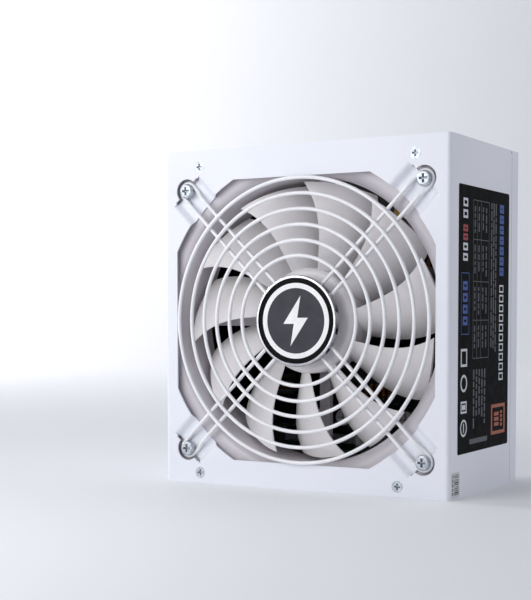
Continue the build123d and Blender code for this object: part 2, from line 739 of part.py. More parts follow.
def blade_section(radius, lead_angle):
    """One blade section, thin and arched, square to the radius in the middle of its chord."""
    middle = radians(lead_angle - blade_chord_angle / 2)
    out = Vector(cos(middle), 0, sin(middle))
    along = Vector(-out.Z, 0, out.X)
    half = radius * tan(radians(blade_chord_angle / 2))
    front = fan_front_y + blade_front_gap
    rear = front + blade_depth
    chord = sqrt(4 * half * half + blade_depth * blade_depth)
    rise = blade_camber * chord
    lean_t, lean_y = -blade_depth / chord * rise, -2 * half / chord * rise
    thick_t, thick_y = blade_depth / chord * blade_thickness / 2, 2 * half / chord * blade_thickness / 2
    with BuildSketch(Plane(origin=out * radius + Vector(0, 0, fan_center_z), x_dir=along, z_dir=out)) as face:
        flip = 1 if face.workplanes[0].y_dir.Y > 0 else -1
        with BuildLine():
            lead = (half, flip * front)
            trail = (-half, flip * rear)
            middle_t, middle_y = lean_t, (front + rear) / 2 + lean_y
            outer = (middle_t - thick_t, flip * (middle_y - thick_y))
            inner = (middle_t + thick_t, flip * (middle_y + thick_y))
            slip_t, slip_y = blade_edge_share * thick_t, blade_edge_share * thick_y
            lead_outer = (lead[0] - slip_t, lead[1] - flip * slip_y)
            lead_inner = (lead[0] + slip_t, lead[1] + flip * slip_y)
            trail_outer = (trail[0] - slip_t, trail[1] - flip * slip_y)
            trail_inner = (trail[0] + slip_t, trail[1] + flip * slip_y)
            ThreePointArc(lead_outer, outer, trail_outer)
            Line(trail_outer, trail_inner)
            ThreePointArc(trail_inner, inner, lead_inner)
            Line(lead_inner, lead_outer)
        make_face()
    return face.sketch


def make_fan_impeller():
    with BuildPart() as blade:
        loft([blade_section(radius, angle) for radius, angle in blade_sweep])
        with BuildSketch(fan_plane(fan_rear_y)):
            Circle(throat_radius - blade_tip_gap)
            Circle(hub_radius - blade_root_depth, mode=Mode.SUBTRACT)
        extrude(amount=fan_thickness, mode=Mode.INTERSECT)
    with BuildPart() as impeller:
        with BuildSketch(fan_plane(hub_rear_y)):
            Circle(hub_radius)
        extrude(amount=hub_length)
        fillet(impeller.edges().group_by(Axis.Y)[0], hub_shoulder)
        with BuildSketch(fan_plane(hub_rear_y)):
            Circle(hub_inner_radius)
        extrude(amount=hub_length - hub_wall, mode=Mode.SUBTRACT)
        for number in range(blade_count):
            turn = number * 360.0 / blade_count
            add(blade.part.rotate(fan_axis, turn))
        with BuildSketch(fan_plane(yoke_front_y + shaft_boss_length)):
            Circle(shaft_boss_radius)
        extrude(amount=shaft_boss_length)
        with BuildSketch(fan_plane(yoke_front_y + shaft_boss_length)):
            Circle(shaft_radius)
        extrude(amount=shaft_boss_length + hub_wall / 2, mode=Mode.SUBTRACT)
    return impeller


def ring(rear_y, length, outer, inner):
    """A plain ring about the fan's axis that ends at rear_y."""
    with BuildPart() as piece:
        with BuildSketch(fan_plane(rear_y)):
            Circle(outer)
            Circle(inner, mode=Mode.SUBTRACT)
        extrude(amount=length)
    return piece


def make_rotor_yoke():
    with BuildPart() as yoke:
        with BuildSketch(fan_plane(hub_rear_y)):
            Circle(hub_inner_radius)
            Circle(magnet_outer_radius, mode=Mode.SUBTRACT)
        extrude(amount=hub_rear_y - yoke_front_y)
        with BuildSketch(fan_plane(yoke_front_y + yoke_wall)):
            Circle(hub_inner_radius)
            Circle(shaft_boss_radius, mode=Mode.SUBTRACT)
        extrude(amount=yoke_wall)
    return yoke


def make_fan_shaft():
    with BuildPart() as shaft:
        shaft_rear_y = fan_rear_y - shaft_end_gap
        with BuildSketch(fan_plane(shaft_rear_y)):
            Circle(shaft_radius)
        extrude(amount=shaft_rear_y - yoke_front_y + hub_wall / 2)
        with BuildSketch(fan_plane(clip_y + clip_thickness)):
            Circle(shaft_radius)
            Circle(shaft_radius - clip_groove_depth, mode=Mode.SUBTRACT)
        extrude(amount=clip_thickness, mode=Mode.SUBTRACT)
    return shaft


def make_shaft_clip():
    with BuildPart() as clip:
        with BuildSketch(fan_plane(clip_y + clip_thickness)):
            Circle(shaft_radius + clip_rim)
            Circle(shaft_radius - clip_groove_depth, mode=Mode.SUBTRACT)
            with Locations((0, -shaft_radius)):
                Rectangle(clip_mouth, 2 * shaft_radius, mode=Mode.SUBTRACT)
        extrude(amount=clip_thickness)
    return clip


def make_stator_core():
    with BuildPart() as core:
        with BuildSketch(fan_plane(stack_front_y + stack_length)):
            Circle(stator_radius)
            Circle(stator_radius - stator_rim, mode=Mode.SUBTRACT)
            with PolarLocations(0, 4, start_angle=45):
                Rectangle(2 * stator_radius + stator_rim, stator_slot, mode=Mode.SUBTRACT)
            Circle(bearing_tube_radius + stator_hub_wall)
            with PolarLocations(stator_radius / 2, 4):
                Rectangle(stator_radius - stator_rim / 2, tooth_width)
            Circle(bearing_tube_radius, mode=Mode.SUBTRACT)
        extrude(amount=stack_length)
    return core


def make_stator_windings():
    inner = bearing_tube_radius + stator_hub_wall + winding_gap
    half_coil = tooth_width / 2 + winding_depth
    outer = sqrt((stator_radius - stator_rim - winding_gap) ** 2 - half_coil ** 2)
    length = stack_length + 2 * winding_gap
    with BuildPart() as windings:
        with BuildSketch(fan_plane(stack_front_y + stack_length + winding_gap + winding_end)):
            with PolarLocations((inner + outer) / 2, 4):
                Rectangle(outer - inner, 2 * half_coil)
        extrude(amount=length + 2 * winding_end)
        with BuildSketch(fan_plane(stack_front_y + stack_length + winding_gap)):
            with PolarLocations((inner + outer) / 2, 4):
                Rectangle(2 * outer - inner, tooth_width + 2 * winding_gap)
        extrude(amount=length, mode=Mode.SUBTRACT)
    return windings


def make_fan_circuit_board():
    with BuildPart() as board:
        with BuildSketch(fan_plane(fan_board_y + fan_board_thickness)):
            Circle(stator_radius - winding_gap)
            Circle(bearing_tube_radius + winding_gap, mode=Mode.SUBTRACT)
        extrude(amount=fan_board_thickness)
    return board


def corner_radii(points):
    """The largest easy bend at each corner: 0.45 of the shorter run over the tangent of half the turn."""
    radii = []
    for before, here, after in zip(points, points[1:], points[2:]):
        one, two = Vector(*here) - Vector(*before), Vector(*after) - Vector(*here)
        turn = radians(one.get_angle(two))
        radii.append(0.45 * min(one.length, two.length) / tan(turn / 2))
    return radii


def make_cord(points, radius):
    with BuildPart() as cord:
        with BuildLine() as path:
            FilletPolyline(*points, radius=corner_radii(points))
        with BuildSketch(Plane(origin=path.line @ 0, z_dir=path.line % 0)):
            Circle(radius)
        sweep(path=path.wires()[0])
    return cord


def make_fan_plug():
    with BuildPart() as plug:
        x, y, z = fan_lead_route[-1]
        with Locations((x, (y + board_y) / 2, z)):
            Box(fan_plug_size[0], board_y - y, fan_plug_size[1])
    return plug


# ---------------------------------------------------------------- mains end
def make_ac_inlet():
    x, y = inlet_spot
    with BuildPart() as inlet:
        with BuildSketch(Plane.XY.offset(case_height)):
            with Locations((x, y)):
                RectangleRounded(inlet_flange[0], inlet_flange[1], inlet_corner_radius)
        extrude(amount=inlet_flange[2])
        fillet(inlet.edges().group_by(Axis.Z)[-1], inlet_edge_round)
        with BuildSketch(Plane.XY.offset(case_height)):
            with Locations((x, y)):
                Rectangle(inlet_body[0], inlet_body[1])
        extrude(amount=-inlet_body[2])
        with BuildSketch(Plane.XY.offset(case_height + inlet_flange[2])) as mouth:
            with Locations((x, y)):
                Rectangle(inlet_cavity[0], inlet_cavity[1])
            chamfer(mouth.vertices().group_by(Axis.Y)[-1], inlet_corner_cut)
        extrude(amount=-inlet_cavity[2] - inlet_flange[2], mode=Mode.SUBTRACT)
        with BuildSketch(Plane.XY.offset(case_height - inlet_body[2])):
            with Locations(*inlet_pin_spots):
                Rectangle(pin_blade[0], pin_blade[1])
        extrude(amount=inlet_body[2], mode=Mode.SUBTRACT)
    return inlet


def make_inlet_pins():
    with BuildPart() as pins:
        with BuildSketch(Plane.XY.offset(emi_board_z + board_thickness)):
            with Locations(*inlet_pin_spots):
                Rectangle(pin_blade[0], pin_blade[1])
        extrude(amount=case_height - inlet_pin_sink - emi_board_z - board_thickness)
        chamfer(pins.faces().group_by(Axis.Z)[-1].edges(), inlet_pin_chamfer)
    return pins


def make_switch_housing():
    x, y = switch_spot
    with BuildPart() as housing:
        with BuildSketch(Plane.XY.offset(case_height)):
            with Locations((x, y)):
                RectangleRounded(switch_bezel[0], switch_bezel[1], switch_corner_radius)
        extrude(amount=switch_bezel[2])
        fillet(housing.edges().group_by(Axis.Z)[-1], switch_edge_round)
        with BuildSketch(Plane.XY.offset(case_height)):
            with Locations((x, y)):
                Rectangle(switch_body[0], switch_body[1])
        extrude(amount=-switch_body[2])
        pocket_depth = switch_bezel[2] + pivot_depth + rocker_half_length + rocker_gap
        with BuildSketch(Plane.XY.offset(case_height + switch_bezel[2])):
            with Locations((x, y)):
                Rectangle(2 * (rocker_half_length + rocker_gap), rocker_width + 2 * rocker_gap)
        extrude(amount=-pocket_depth, mode=Mode.SUBTRACT)
        with Locations(Plane(origin=(x, y, pivot_z), z_dir=(0, 1, 0))):
            pivot_bore = rocker_width + 2 * (pivot_reach + pivot_end_gap)
            Cylinder(pivot_radius + pivot_gap, pivot_bore, mode=Mode.SUBTRACT)
    return housing


def make_switch_rocker():
    """The rocker rests tipped over its left end. Its ends are arcs about the pivot."""
    x, y = switch_spot
    rise = rocker_half_length * tan(radians(rocker_tilt))
    top = switch_bezel[2] + pivot_depth - rocker_crown
    with BuildPart() as rocker:
        tipped = facing(y, x, pivot_z).rotated((0, -rocker_tilt, 0))
        with BuildSketch(tipped):
            with BuildLine():
                Polyline(
                    (0, top), (rocker_half_length, top + rise), (rocker_half_length, -rocker_floor),
                    (-rocker_half_length, -rocker_floor), (-rocker_half_length, top + rise), close=True,
                )
            make_face()
            Circle(rocker_half_length, mode=Mode.INTERSECT)
        extrude(amount=rocker_width / 2, both=True)
        with Locations(Plane(origin=(x, y, pivot_z), z_dir=(0, 1, 0))):
            Cylinder(pivot_radius, rocker_width + 2 * pivot_reach)
    return rocker


def make_switch_terminals():
    with BuildPart() as terminals:
        with BuildSketch(Plane.XY.offset(terminal_end_z)):
            with Locations(*switch_terminal_spots):
                Rectangle(switch_terminal[0], switch_terminal[1])
        extrude(amount=switch_terminal[2])
    return terminals


def mains_route(x):
    """From a switch terminal down and back up into the inlet's board."""
    y = switch_spot[1]
    middle = [(x, y + back, terminal_end_z - drop) for back, drop in mains_wire_drops]
    end_y = y + mains_wire_reach
    end = [(x, end_y, emi_board_z - mains_wire_rise), (x, end_y, emi_board_z)]
    return [(x, y, terminal_end_z), *middle, *end]


def make_mains_leads():
    cords = [make_cord(mains_route(x), mains_wire_radius).part for x, _ in switch_terminal_spots]
    with BuildPart() as leads:
        add(cords)
    return leads


def make_earth_lug():
    with BuildPart() as lug:
        x, y = earth_spot
        with BuildSketch(Plane.XY.offset(inner_top_z - lug_thickness)):
            with Locations((x, y)):
                Circle(lug_radius)
                with Locations((-lug_reach / 2, 0)):
                    Rectangle(lug_reach, 2 * lug_barrel_radius)
                Circle(earth_screw_radius + screw_clearance, mode=Mode.SUBTRACT)
        extrude(amount=lug_thickness)
        with BuildSketch(Plane.XY.offset(inner_top_z - lug_barrel_length)):
            with Locations((x - lug_reach, y)):
                Circle(lug_barrel_radius)
        extrude(amount=lug_barrel_length - lug_thickness / 2)
    return lug


def make_earth_screw():
    with BuildPart() as screw:
        x, y = earth_spot
        with BuildSketch(Plane.XY.offset(inner_top_z - lug_thickness)):
            with Locations((x, y)):
                Circle(earth_screw_head[0])
        extrude(amount=-earth_screw_head[1])
        with BuildSketch(Plane.XY.offset(inner_top_z - lug_thickness)):
            with Locations((x, y)):
                Circle(earth_screw_radius)
        extrude(amount=lug_thickness + sheet)
    return screw


def make_emi_board():
    with BuildPart() as board:
        x, y = inlet_spot
        with BuildSketch(Plane.XY.offset(emi_board_z)):
            with Locations((x, y - inlet_pin_drop)):
                Rectangle(*emi_board_size)
        extrude(amount=board_thickness)
    return board


# ---------------------------------------------------------------- main board and what stands on it
def on_board(x, z):
    """A plane on the main board's front that faces the fan."""
    return facing(board_y, x, z)


def stand_boxes(items):
    """Boxes that stand on the board, each given as x, z, width, height along Z and reach."""
    with BuildPart() as piece:
        for x, z, wide, tall, reach in items:
            with BuildSketch(on_board(x, z)):
                RectangleRounded(wide, tall, part_corner_radius)
            extrude(amount=reach)
    return piece


def stand_cylinders(items, edge):
    """Cylinders that stand on the board, each given as x, z, radius and reach, with a rounded end."""
    with BuildPart() as piece:
        for x, z, radius, reach in items:
            with BuildSketch(on_board(x, z)):
                Circle(radius)
            extrude(amount=reach)
        fillet(piece.edges().group_by(Axis.Y)[0], edge)
    return piece


def make_main_board():
    with BuildPart() as board:
        with BuildSketch(facing(board_back_y)):
            with Locations((0, board_middle_z)):
                Rectangle(2 * board_half_width, board_height)
            with Locations(*standoff_spots):
                Circle(board_screw_radius + board_screw_gap, mode=Mode.SUBTRACT)
        extrude(amount=board_thickness)
    return board


def make_insulation_sheet():
    """The black film behind the board, folded forwards along the case's sides."""
    film_height = board_height + 2 * insulation_margin
    outer_x = half_width - 2 * sheet - 2 * slip_gap
    inner_x = outer_x - insulation_thickness
    edge_y = fan_rear_y + insulation_front_gap
    with BuildPart() as film:
        with BuildSketch(Plane.XY.offset(board_bottom_z - insulation_margin)) as section:
            with BuildLine():
                Polyline(
                    (-outer_x, edge_y), (-outer_x, inner_back_y), (outer_x, inner_back_y), (outer_x, edge_y),
                    (inner_x, edge_y), (inner_x, inner_back_y - insulation_thickness),
                    (-inner_x, inner_back_y - insulation_thickness), (-inner_x, edge_y), close=True,
                )
            make_face()
            fillet(section.vertices().group_by(Axis.Y)[1], insulation_fold_radius - insulation_thickness)
            fillet(section.vertices().group_by(Axis.Y)[-1], insulation_fold_radius)
        extrude(amount=film_height)
        with BuildSketch(facing(inner_back_y)):
            with Locations(*standoff_spots):
                Circle(standoff_radius + standoff_film_gap)
        extrude(amount=insulation_thickness, mode=Mode.SUBTRACT)
    return film


def make_board_standoffs():
    with BuildPart() as posts:
        with BuildSketch(facing(inner_back_y)):
            with Locations(*standoff_spots):
                Circle(standoff_radius)
                Circle(board_screw_radius + screw_clearance, mode=Mode.SUBTRACT)
        extrude(amount=standoff_height)
    return posts


def make_board_screws():
    with BuildPart() as screws:
        with BuildSketch(facing(board_y)):
            with Locations(*standoff_spots):
                Circle(board_screw_head[0])
        extrude(amount=board_screw_head[1])
        with BuildSketch(facing(board_y)):
            with Locations(*standoff_spots):
                Circle(board_screw_radius)
        extrude(amount=board_screw_end_gap - board_thickness - standoff_height)
    return screws


def make_toroid_core(plane, outer, inner, height):
    with BuildPart() as core:
        with BuildSketch(plane):
            Circle(outer)
            Circle(inner, mode=Mode.SUBTRACT)
        extrude(amount=height / 2, both=True)
    return core


def make_toroid_winding(plane, outer, inner, height, turns, thick):
    """Square loops of wire about a ring core, one for each turn."""
    slack = 2 * winding_slack
    with BuildPart(plane) as winding:
        with PolarLocations((outer + inner) / 2, turns):
            Box(outer - inner + 2 * thick + slack, thick, height + 2 * thick + slack)
        with PolarLocations((outer + inner) / 2, turns):
            Box(outer - inner + slack, 2 * thick, height + slack, mode=Mode.SUBTRACT)
    return winding


filter_choke_plane = facing(board_y - filter_choke_spot[1], filter_choke_spot[0],
                            board_top_z - filter_choke_spot[2])
pfc_choke_plane = facing(board_y - pfc_choke_spot[1], pfc_choke_spot[0], pfc_choke_spot[2])
output_choke_plane = Plane(
    origin=(output_choke_spot[0], board_y - output_choke_spot[1], output_choke_spot[2]),
    x_dir=(0, 1, 0), z_dir=(1, 0, 0),
)


def from_board_top(items):
    """Items whose Z is given as a distance below the board's top edge."""
    return [(item[0], board_top_z - item[1], *item[2:]) for item in items]


def make_heatsink(spot, plate, fin, pitch, fins, side, reach):
    """An upright plate with a row of fins on one side."""
    align = Align.MIN if side > 0 else Align.MAX
    with BuildPart() as sink:
        with BuildSketch(on_board(*spot)):
            Rectangle(*plate)
            with GridLocations(0, pitch, 1, fins):
                Rectangle(*fin, align=(align, Align.CENTER))
        extrude(amount=reach)
    return sink


def make_transistors(heatsink, spots, size, side):
    """Flat packages against a heatsink's plain side, with legs down to the board."""
    thick, tall, reach = size
    leg_thick, leg_wide = transistor_leg
    x = heatsink["spot"][0] + side * (heatsink["plate"][0] / 2 + transistor_gap + thick / 2)
    leg_steps = (-tall / 3, 0, tall / 3)
    with BuildPart() as group:
        for z in spots:
            with Locations((x, board_y - transistor_rise - reach / 2, z)):
                Box(thick, reach, tall)
            with Locations(*[(x, board_y - transistor_rise / 2, z + step) for step in leg_steps]):
                Box(leg_thick, transistor_rise, leg_wide)
    return group


transformer_y = board_y - transformer_rise - transformer_core[1] / 2


def make_transformer_core():
    x, z = transformer_spot
    wide, deep, tall = transformer_core
    window_wide, window_deep = transformer_window
    window_x = (transformer_limb + window_wide) / 2
    with BuildPart() as core:
        with BuildSketch(Plane.XY.offset(z)):
            with Locations((x, transformer_y)):
                Rectangle(wide, deep)
                with Locations((-window_x, 0), (window_x, 0)):
                    Rectangle(window_wide, window_deep, mode=Mode.SUBTRACT)
        extrude(amount=tall / 2, both=True)
    return core


def make_transformer_winding():
    x, z = transformer_spot
    wide, deep, tall = transformer_winding
    with BuildPart() as winding:
        with BuildSketch(Plane.XY.offset(z)):
            with Locations((x, transformer_y)):
                Rectangle(wide, deep)
        extrude(amount=tall / 2, both=True)
        with BuildSketch(Plane.XY.offset(z)):
            with Locations((x, transformer_y)):
                Rectangle(transformer_limb + 2 * transformer_gap, transformer_window[1])
        extrude(amount=transformer_core[2] / 2 + transformer_gap, both=True, mode=Mode.SUBTRACT)
    return winding


def make_output_busbars():
    """Angle bars from the main board forwards and down to the socket board."""
    low_z = board_bottom_z + busbar_rise
    near_y = socket_row_high - busbar_setback
    with BuildPart() as bars:
        with BuildSketch(Plane.YZ):
            with BuildLine():
                Polyline(
                    (board_y, low_z + busbar_thickness), (near_y, low_z + busbar_thickness),
                    (near_y, socket_board_top_z), (near_y + busbar_thickness, socket_board_top_z),
                    (near_y + busbar_thickness, low_z), (board_y, low_z), close=True,
                )
            make_face()
        extrude(amount=busbar_width / 2, both=True)
    with BuildPart() as group:
        for x in busbar_spots:
            add(bars.part.moved(Location((x, 0, 0))))
    return group


# ---------------------------------------------------------------- socket end
def socket_width(columns):
    return columns * pin_pitch + socket_wall_extra


def make_sockets(spots, columns):
    with BuildPart() as group:
        with BuildSketch(Plane.XY.offset(socket_recess)):
            with Locations(*spots):
                Rectangle(socket_width(columns), socket_height)
        extrude(amount=socket_length)
        with BuildSketch(Plane.XY.offset(socket_recess)):
            with Locations(*spots):
                with GridLocations(pin_pitch, pin_pitch, columns, 2):
                    Rectangle(socket_cell, socket_cell)
        extrude(amount=socket_length - socket_floor, mode=Mode.SUBTRACT)
        with BuildSketch(Plane.XY.offset(socket_recess)):
            with Locations(*spots):
                with GridLocations(pin_pitch, pin_pitch, columns, 2):
                    Rectangle(pin_size, pin_size)
        extrude(amount=socket_length, mode=Mode.SUBTRACT)
    return group


def make_socket_pins():
    with BuildPart() as pins:
        with BuildSketch(Plane.XY.offset(socket_recess + pin_sink)):
            for spots, columns in socket_groups:
                with Locations(*spots):
                    with GridLocations(pin_pitch, pin_pitch, columns, 2):
                        Rectangle(pin_size, pin_size)
        extrude(amount=socket_length - pin_sink)
    return pins


def make_socket_board():
    with BuildPart() as board:
        low_y = socket_row_low - socket_height / 2 - socket_board_margin
        high_y = socket_row_high + socket_height / 2 + socket_board_margin
        with BuildSketch(Plane.XY.offset(socket_board_z)):
            with Locations((0, (low_y + high_y) / 2)):
                Rectangle(2 * board_half_width, high_y - low_y)
        extrude(amount=board_thickness)
    return board


pieces = {
    "fan_cover": make_fan_cover(),
    "base_chassis": make_base_chassis(),
    "cover_screws": make_cover_screws(),
    "fan_grille": make_fan_grille(),
    "grille_screws": make_grille_screws(),
    "badge_rim": make_badge_rim(),
    "badge_disc": make_badge_disc(),
    "badge_print": make_badge_print(),
    "spec_label": make_label(label_size, label_center, label_thickness),
    "serial_label": make_label(serial_label_size, serial_label_center, label_thickness),
    "fan_frame": make_fan_frame(),
    "fan_impeller": make_fan_impeller(),
    "rotor_yoke": make_rotor_yoke(),
    "rotor_magnet": ring(magnet_front_y + magnet_length, magnet_length, magnet_outer_radius,
                         magnet_inner_radius),
    "fan_shaft": make_fan_shaft(),
    "shaft_clip": make_shaft_clip(),
    "bearing_sleeve": ring(bearing_rear_y, bearing_rear_y - bearing_front_y, bearing_radius,
                           shaft_radius + shaft_running_gap),
    "stator_core": make_stator_core(),
    "stator_windings": make_stator_windings(),
    "fan_circuit_board": make_fan_circuit_board(),
    "fan_lead": make_cord(fan_lead_route, lead_radius),
    "fan_plug": make_fan_plug(),
    "ac_inlet": make_ac_inlet(),
    "inlet_pins": make_inlet_pins(),
    "switch_housing": make_switch_housing(),
    "switch_rocker": make_switch_rocker(),
    "switch_terminals": make_switch_terminals(),
    "mains_leads": make_mains_leads(),
    "earth_lead": make_cord(earth_lead_route, earth_wire_radius),
    "earth_lug": make_earth_lug(),
    "earth_screw": make_earth_screw(),
    "emi_board": make_emi_board(),
    "main_board": make_main_board(),
    "insulation_sheet": make_insulation_sheet(),
    "board_standoffs": make_board_standoffs(),
    "board_screws": make_board_screws(),
    "filter_choke_core": make_toroid_core(filter_choke_plane, **filter_choke),
    "filter_choke_winding": make_toroid_winding(filter_choke_plane, **filter_choke, **filter_choke_turns),
    "pfc_choke_core": make_toroid_core(pfc_choke_plane, **pfc_choke),
    "pfc_choke_winding": make_toroid_winding(pfc_choke_plane, **pfc_choke, **pfc_choke_turns),
    "output_choke_core": make_toroid_core(output_choke_plane, **output_choke),
    "output_choke_winding": make_toroid_winding(output_choke_plane, **output_choke, **output_choke_turns),
    "x_capacitors": stand_boxes(from_board_top(x_capacitor_items)),
    "y_capacitors": stand_cylinders(from_board_top(y_capacitor_items), capacitor_rounds[0]),
    "inrush_relay": stand_boxes(relay_items),
    "bridge_rectifier": stand_boxes(bridge_items),
    "bulk_capacitor": stand_cylinders(bulk_capacitor_items, capacitor_rounds[1]),
    "output_capacitors": stand_cylinders(output_capacitor_items, capacitor_rounds[2]),
    "primary_heatsink": make_heatsink(**primary_heatsink),
    "primary_transistors": make_transistors(primary_heatsink, **primary_transistors),
    "secondary_heatsink": make_heatsink(**secondary_heatsink),
    "secondary_transistors": make_transistors(secondary_heatsink, **secondary_transistors),
    "transformer_core": make_transformer_core(),
    "transformer_winding": make_transformer_winding(),
    "output_busbars": make_output_busbars(),
    "socket_board": make_socket_board(),
    "socket_24_pin": make_sockets(*socket_groups[0]),
    "sockets_8_pin": make_sockets(*socket_groups[1]),
    "sockets_6_pin": make_sockets(*socket_groups[2]),
    "socket_pins": make_socket_pins(),
}

os.makedirs("parts", exist_ok=True)
for name, piece in pieces.items():
    piece.part.label = name
    export_step(piece.part, f"parts/{name}.step")
print(len(pieces), "nodes written")
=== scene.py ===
"""Looks for a modular power supply unit: finishes, printed labels, badge, small parts and the stage."""
import json
import math
import random

import bmesh
import bpy
from bpy.props import FloatProperty, FloatVectorProperty, IntProperty
from mathutils import Matrix, Vector


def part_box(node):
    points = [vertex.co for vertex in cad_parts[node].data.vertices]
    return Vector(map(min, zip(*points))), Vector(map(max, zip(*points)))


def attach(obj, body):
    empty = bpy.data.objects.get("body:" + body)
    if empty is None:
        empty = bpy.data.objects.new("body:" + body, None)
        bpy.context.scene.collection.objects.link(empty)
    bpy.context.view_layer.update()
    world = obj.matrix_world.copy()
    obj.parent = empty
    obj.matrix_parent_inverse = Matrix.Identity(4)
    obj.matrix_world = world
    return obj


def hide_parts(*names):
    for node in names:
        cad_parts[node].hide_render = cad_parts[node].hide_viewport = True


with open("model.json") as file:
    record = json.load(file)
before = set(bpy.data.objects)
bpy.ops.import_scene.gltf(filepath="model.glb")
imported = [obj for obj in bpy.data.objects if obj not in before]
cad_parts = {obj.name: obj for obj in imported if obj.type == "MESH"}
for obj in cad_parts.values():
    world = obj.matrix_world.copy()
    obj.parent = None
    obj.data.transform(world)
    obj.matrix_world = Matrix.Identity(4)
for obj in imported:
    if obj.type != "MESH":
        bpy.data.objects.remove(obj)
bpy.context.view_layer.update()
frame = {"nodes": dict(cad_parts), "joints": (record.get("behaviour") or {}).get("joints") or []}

bl_info = {
    "name": "Power Supply Unit",
    "version": (1, 0, 0),
    "blender": (4, 5, 0),
    "location": "View3D > Sidebar > Power Supply",
    "description": "Finishes, labels, badge, small parts and stage of a modular power supply unit",
    "category": "Add Mesh",
}

MM = 0.001
NODES = frame["nodes"]
RIGHT, FRONT, TOP = Vector((1, 0, 0)), Vector((0, -1, 0)), Vector((0, 0, 1))


def srgb(code):
    """A hex colour as linear RGBA."""
    values = [int(code[i:i + 2], 16) / 255 for i in (1, 3, 5)]
    return tuple(v / 12.92 if v <= 0.04045 else ((v + 0.055) / 1.055) ** 2.4 for v in values) + (1.0,)


def node_box(name):
    """A CAD node's lowest and highest corners in millimetres."""
    low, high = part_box(name)
    return Vector(low) / MM, Vector(high) / MM


def solid_boxes(name):
    """The corners of each separate solid in a CAD node, in millimetres, in order of X and Z."""
    shape = bmesh.new()
    shape.from_mesh(NODES[name].data)
    bmesh.ops.remove_doubles(shape, verts=shape.verts, dist=0.001 * MM)
    left = set(shape.verts)
    found = []
    for start in shape.verts:
        if start not in left:
            continue
        left.discard(start)
        fresh = [start]
        points = []
        while fresh:
            vert = fresh.pop()
            points.append(vert.co / MM)
            near = [edge.other_vert(vert) for edge in vert.link_edges]
            fresh.extend(other for other in near if other in left)
            left.difference_update(near)
        found.append((Vector([min(p[i] for p in points) for i in range(3)]),
                      Vector([max(p[i] for p in points) for i in range(3)])))
    shape.free()
    return sorted(found, key=lambda box: (round(box[0].x, 1), round(box[0].z, 1)))


FAN_CENTER = Vector(next(j["pos_m"] for j in frame["joints"] if j["name"] == "fan_spin")) / MM
PIVOT = Vector(next(j["pos_m"] for j in frame["joints"] if j["name"] == "switch_rock")) / MM


# ---------------------------------------------------------------- materials
def add_node(tree, kind, inputs=None, links=None, **settings):
    """Adds a node with its settings, its input values and its links from (node, output)."""
    made = tree.nodes.new(kind)
    for key, value in settings.items():
        setattr(made, key, value)
    for key, value in (inputs or {}).items():
        made.inputs[key].default_value = value
    for key, (source, output) in (links or {}).items():
        tree.links.new(source.outputs[output], made.inputs[key])
    return made


def per_mm(size):
    """The scale of a texture whose features are about this many millimetres wide."""
    return 1.0 / (size * MM)


def start_material(name, color, rough, metal=0.0, **sockets):
    """A material with its shader and its Object coordinates. Uniform values sit on the shader's sockets."""
    made = bpy.data.materials.new(name)
    made.use_nodes = True
    tree = made.node_tree
    tree.nodes.clear()
    inputs = {"Base Color": srgb(color), "Roughness": rough, "Metallic": metal}
    inputs.update({key.replace("_", " "): value for key, value in sockets.items()})
    shader = add_node(tree, "ShaderNodeBsdfPrincipled", inputs)
    add_node(tree, "ShaderNodeOutputMaterial", links={"Surface": (shader, "BSDF")})
    place = add_node(tree, "ShaderNodeTexCoord")
    return made, tree, shader, place


def surface(name, pale, dark, rough, metal=0.0, cloud=18.0, grain=0.5, run=(1.0, 1.0, 1.0), depth=0.1,
            height=0.04, spread=0.06, **sockets):
    """Colour that drifts between two tones over cloud mm, and a grain in mm that moves gloss and relief."""
    made, tree, shader, place = start_material(name, pale, rough, metal, **sockets)
    turned = add_node(tree, "ShaderNodeMapping", {"Scale": run}, {"Vector": (place, "Object")})
    tone = add_node(tree, "ShaderNodeTexNoise", {"Scale": per_mm(cloud), "Detail": 4.0},
                    {"Vector": (turned, "Vector")})
    colors = add_node(tree, "ShaderNodeValToRGB", links={"Fac": (tone, "Fac")})
    colors.color_ramp.elements[0].position = 0.32
    colors.color_ramp.elements[0].color = srgb(dark)
    colors.color_ramp.elements[1].position = 0.68
    colors.color_ramp.elements[1].color = srgb(pale)
    tree.links.new(colors.outputs["Color"], shader.inputs["Base Color"])
    skin = add_node(tree, "ShaderNodeTexNoise", {"Scale": per_mm(grain), "Detail": 3.0},
                    {"Vector": (turned, "Vector")})
    gloss = add_node(tree, "ShaderNodeMapRange", {"From Min": 0.3, "From Max": 0.7, "To Min": rough - spread,
                     "To Max": rough + spread}, {"Value": (skin, "Fac")})
    tree.links.new(gloss.outputs["Result"], shader.inputs["Roughness"])
    bump = add_node(tree, "ShaderNodeBump", {"Strength": depth, "Distance": height * MM},
                    {"Height": (skin, "Fac")})
    tree.links.new(bump.outputs["Normal"], shader.inputs["Normal"])
    return made


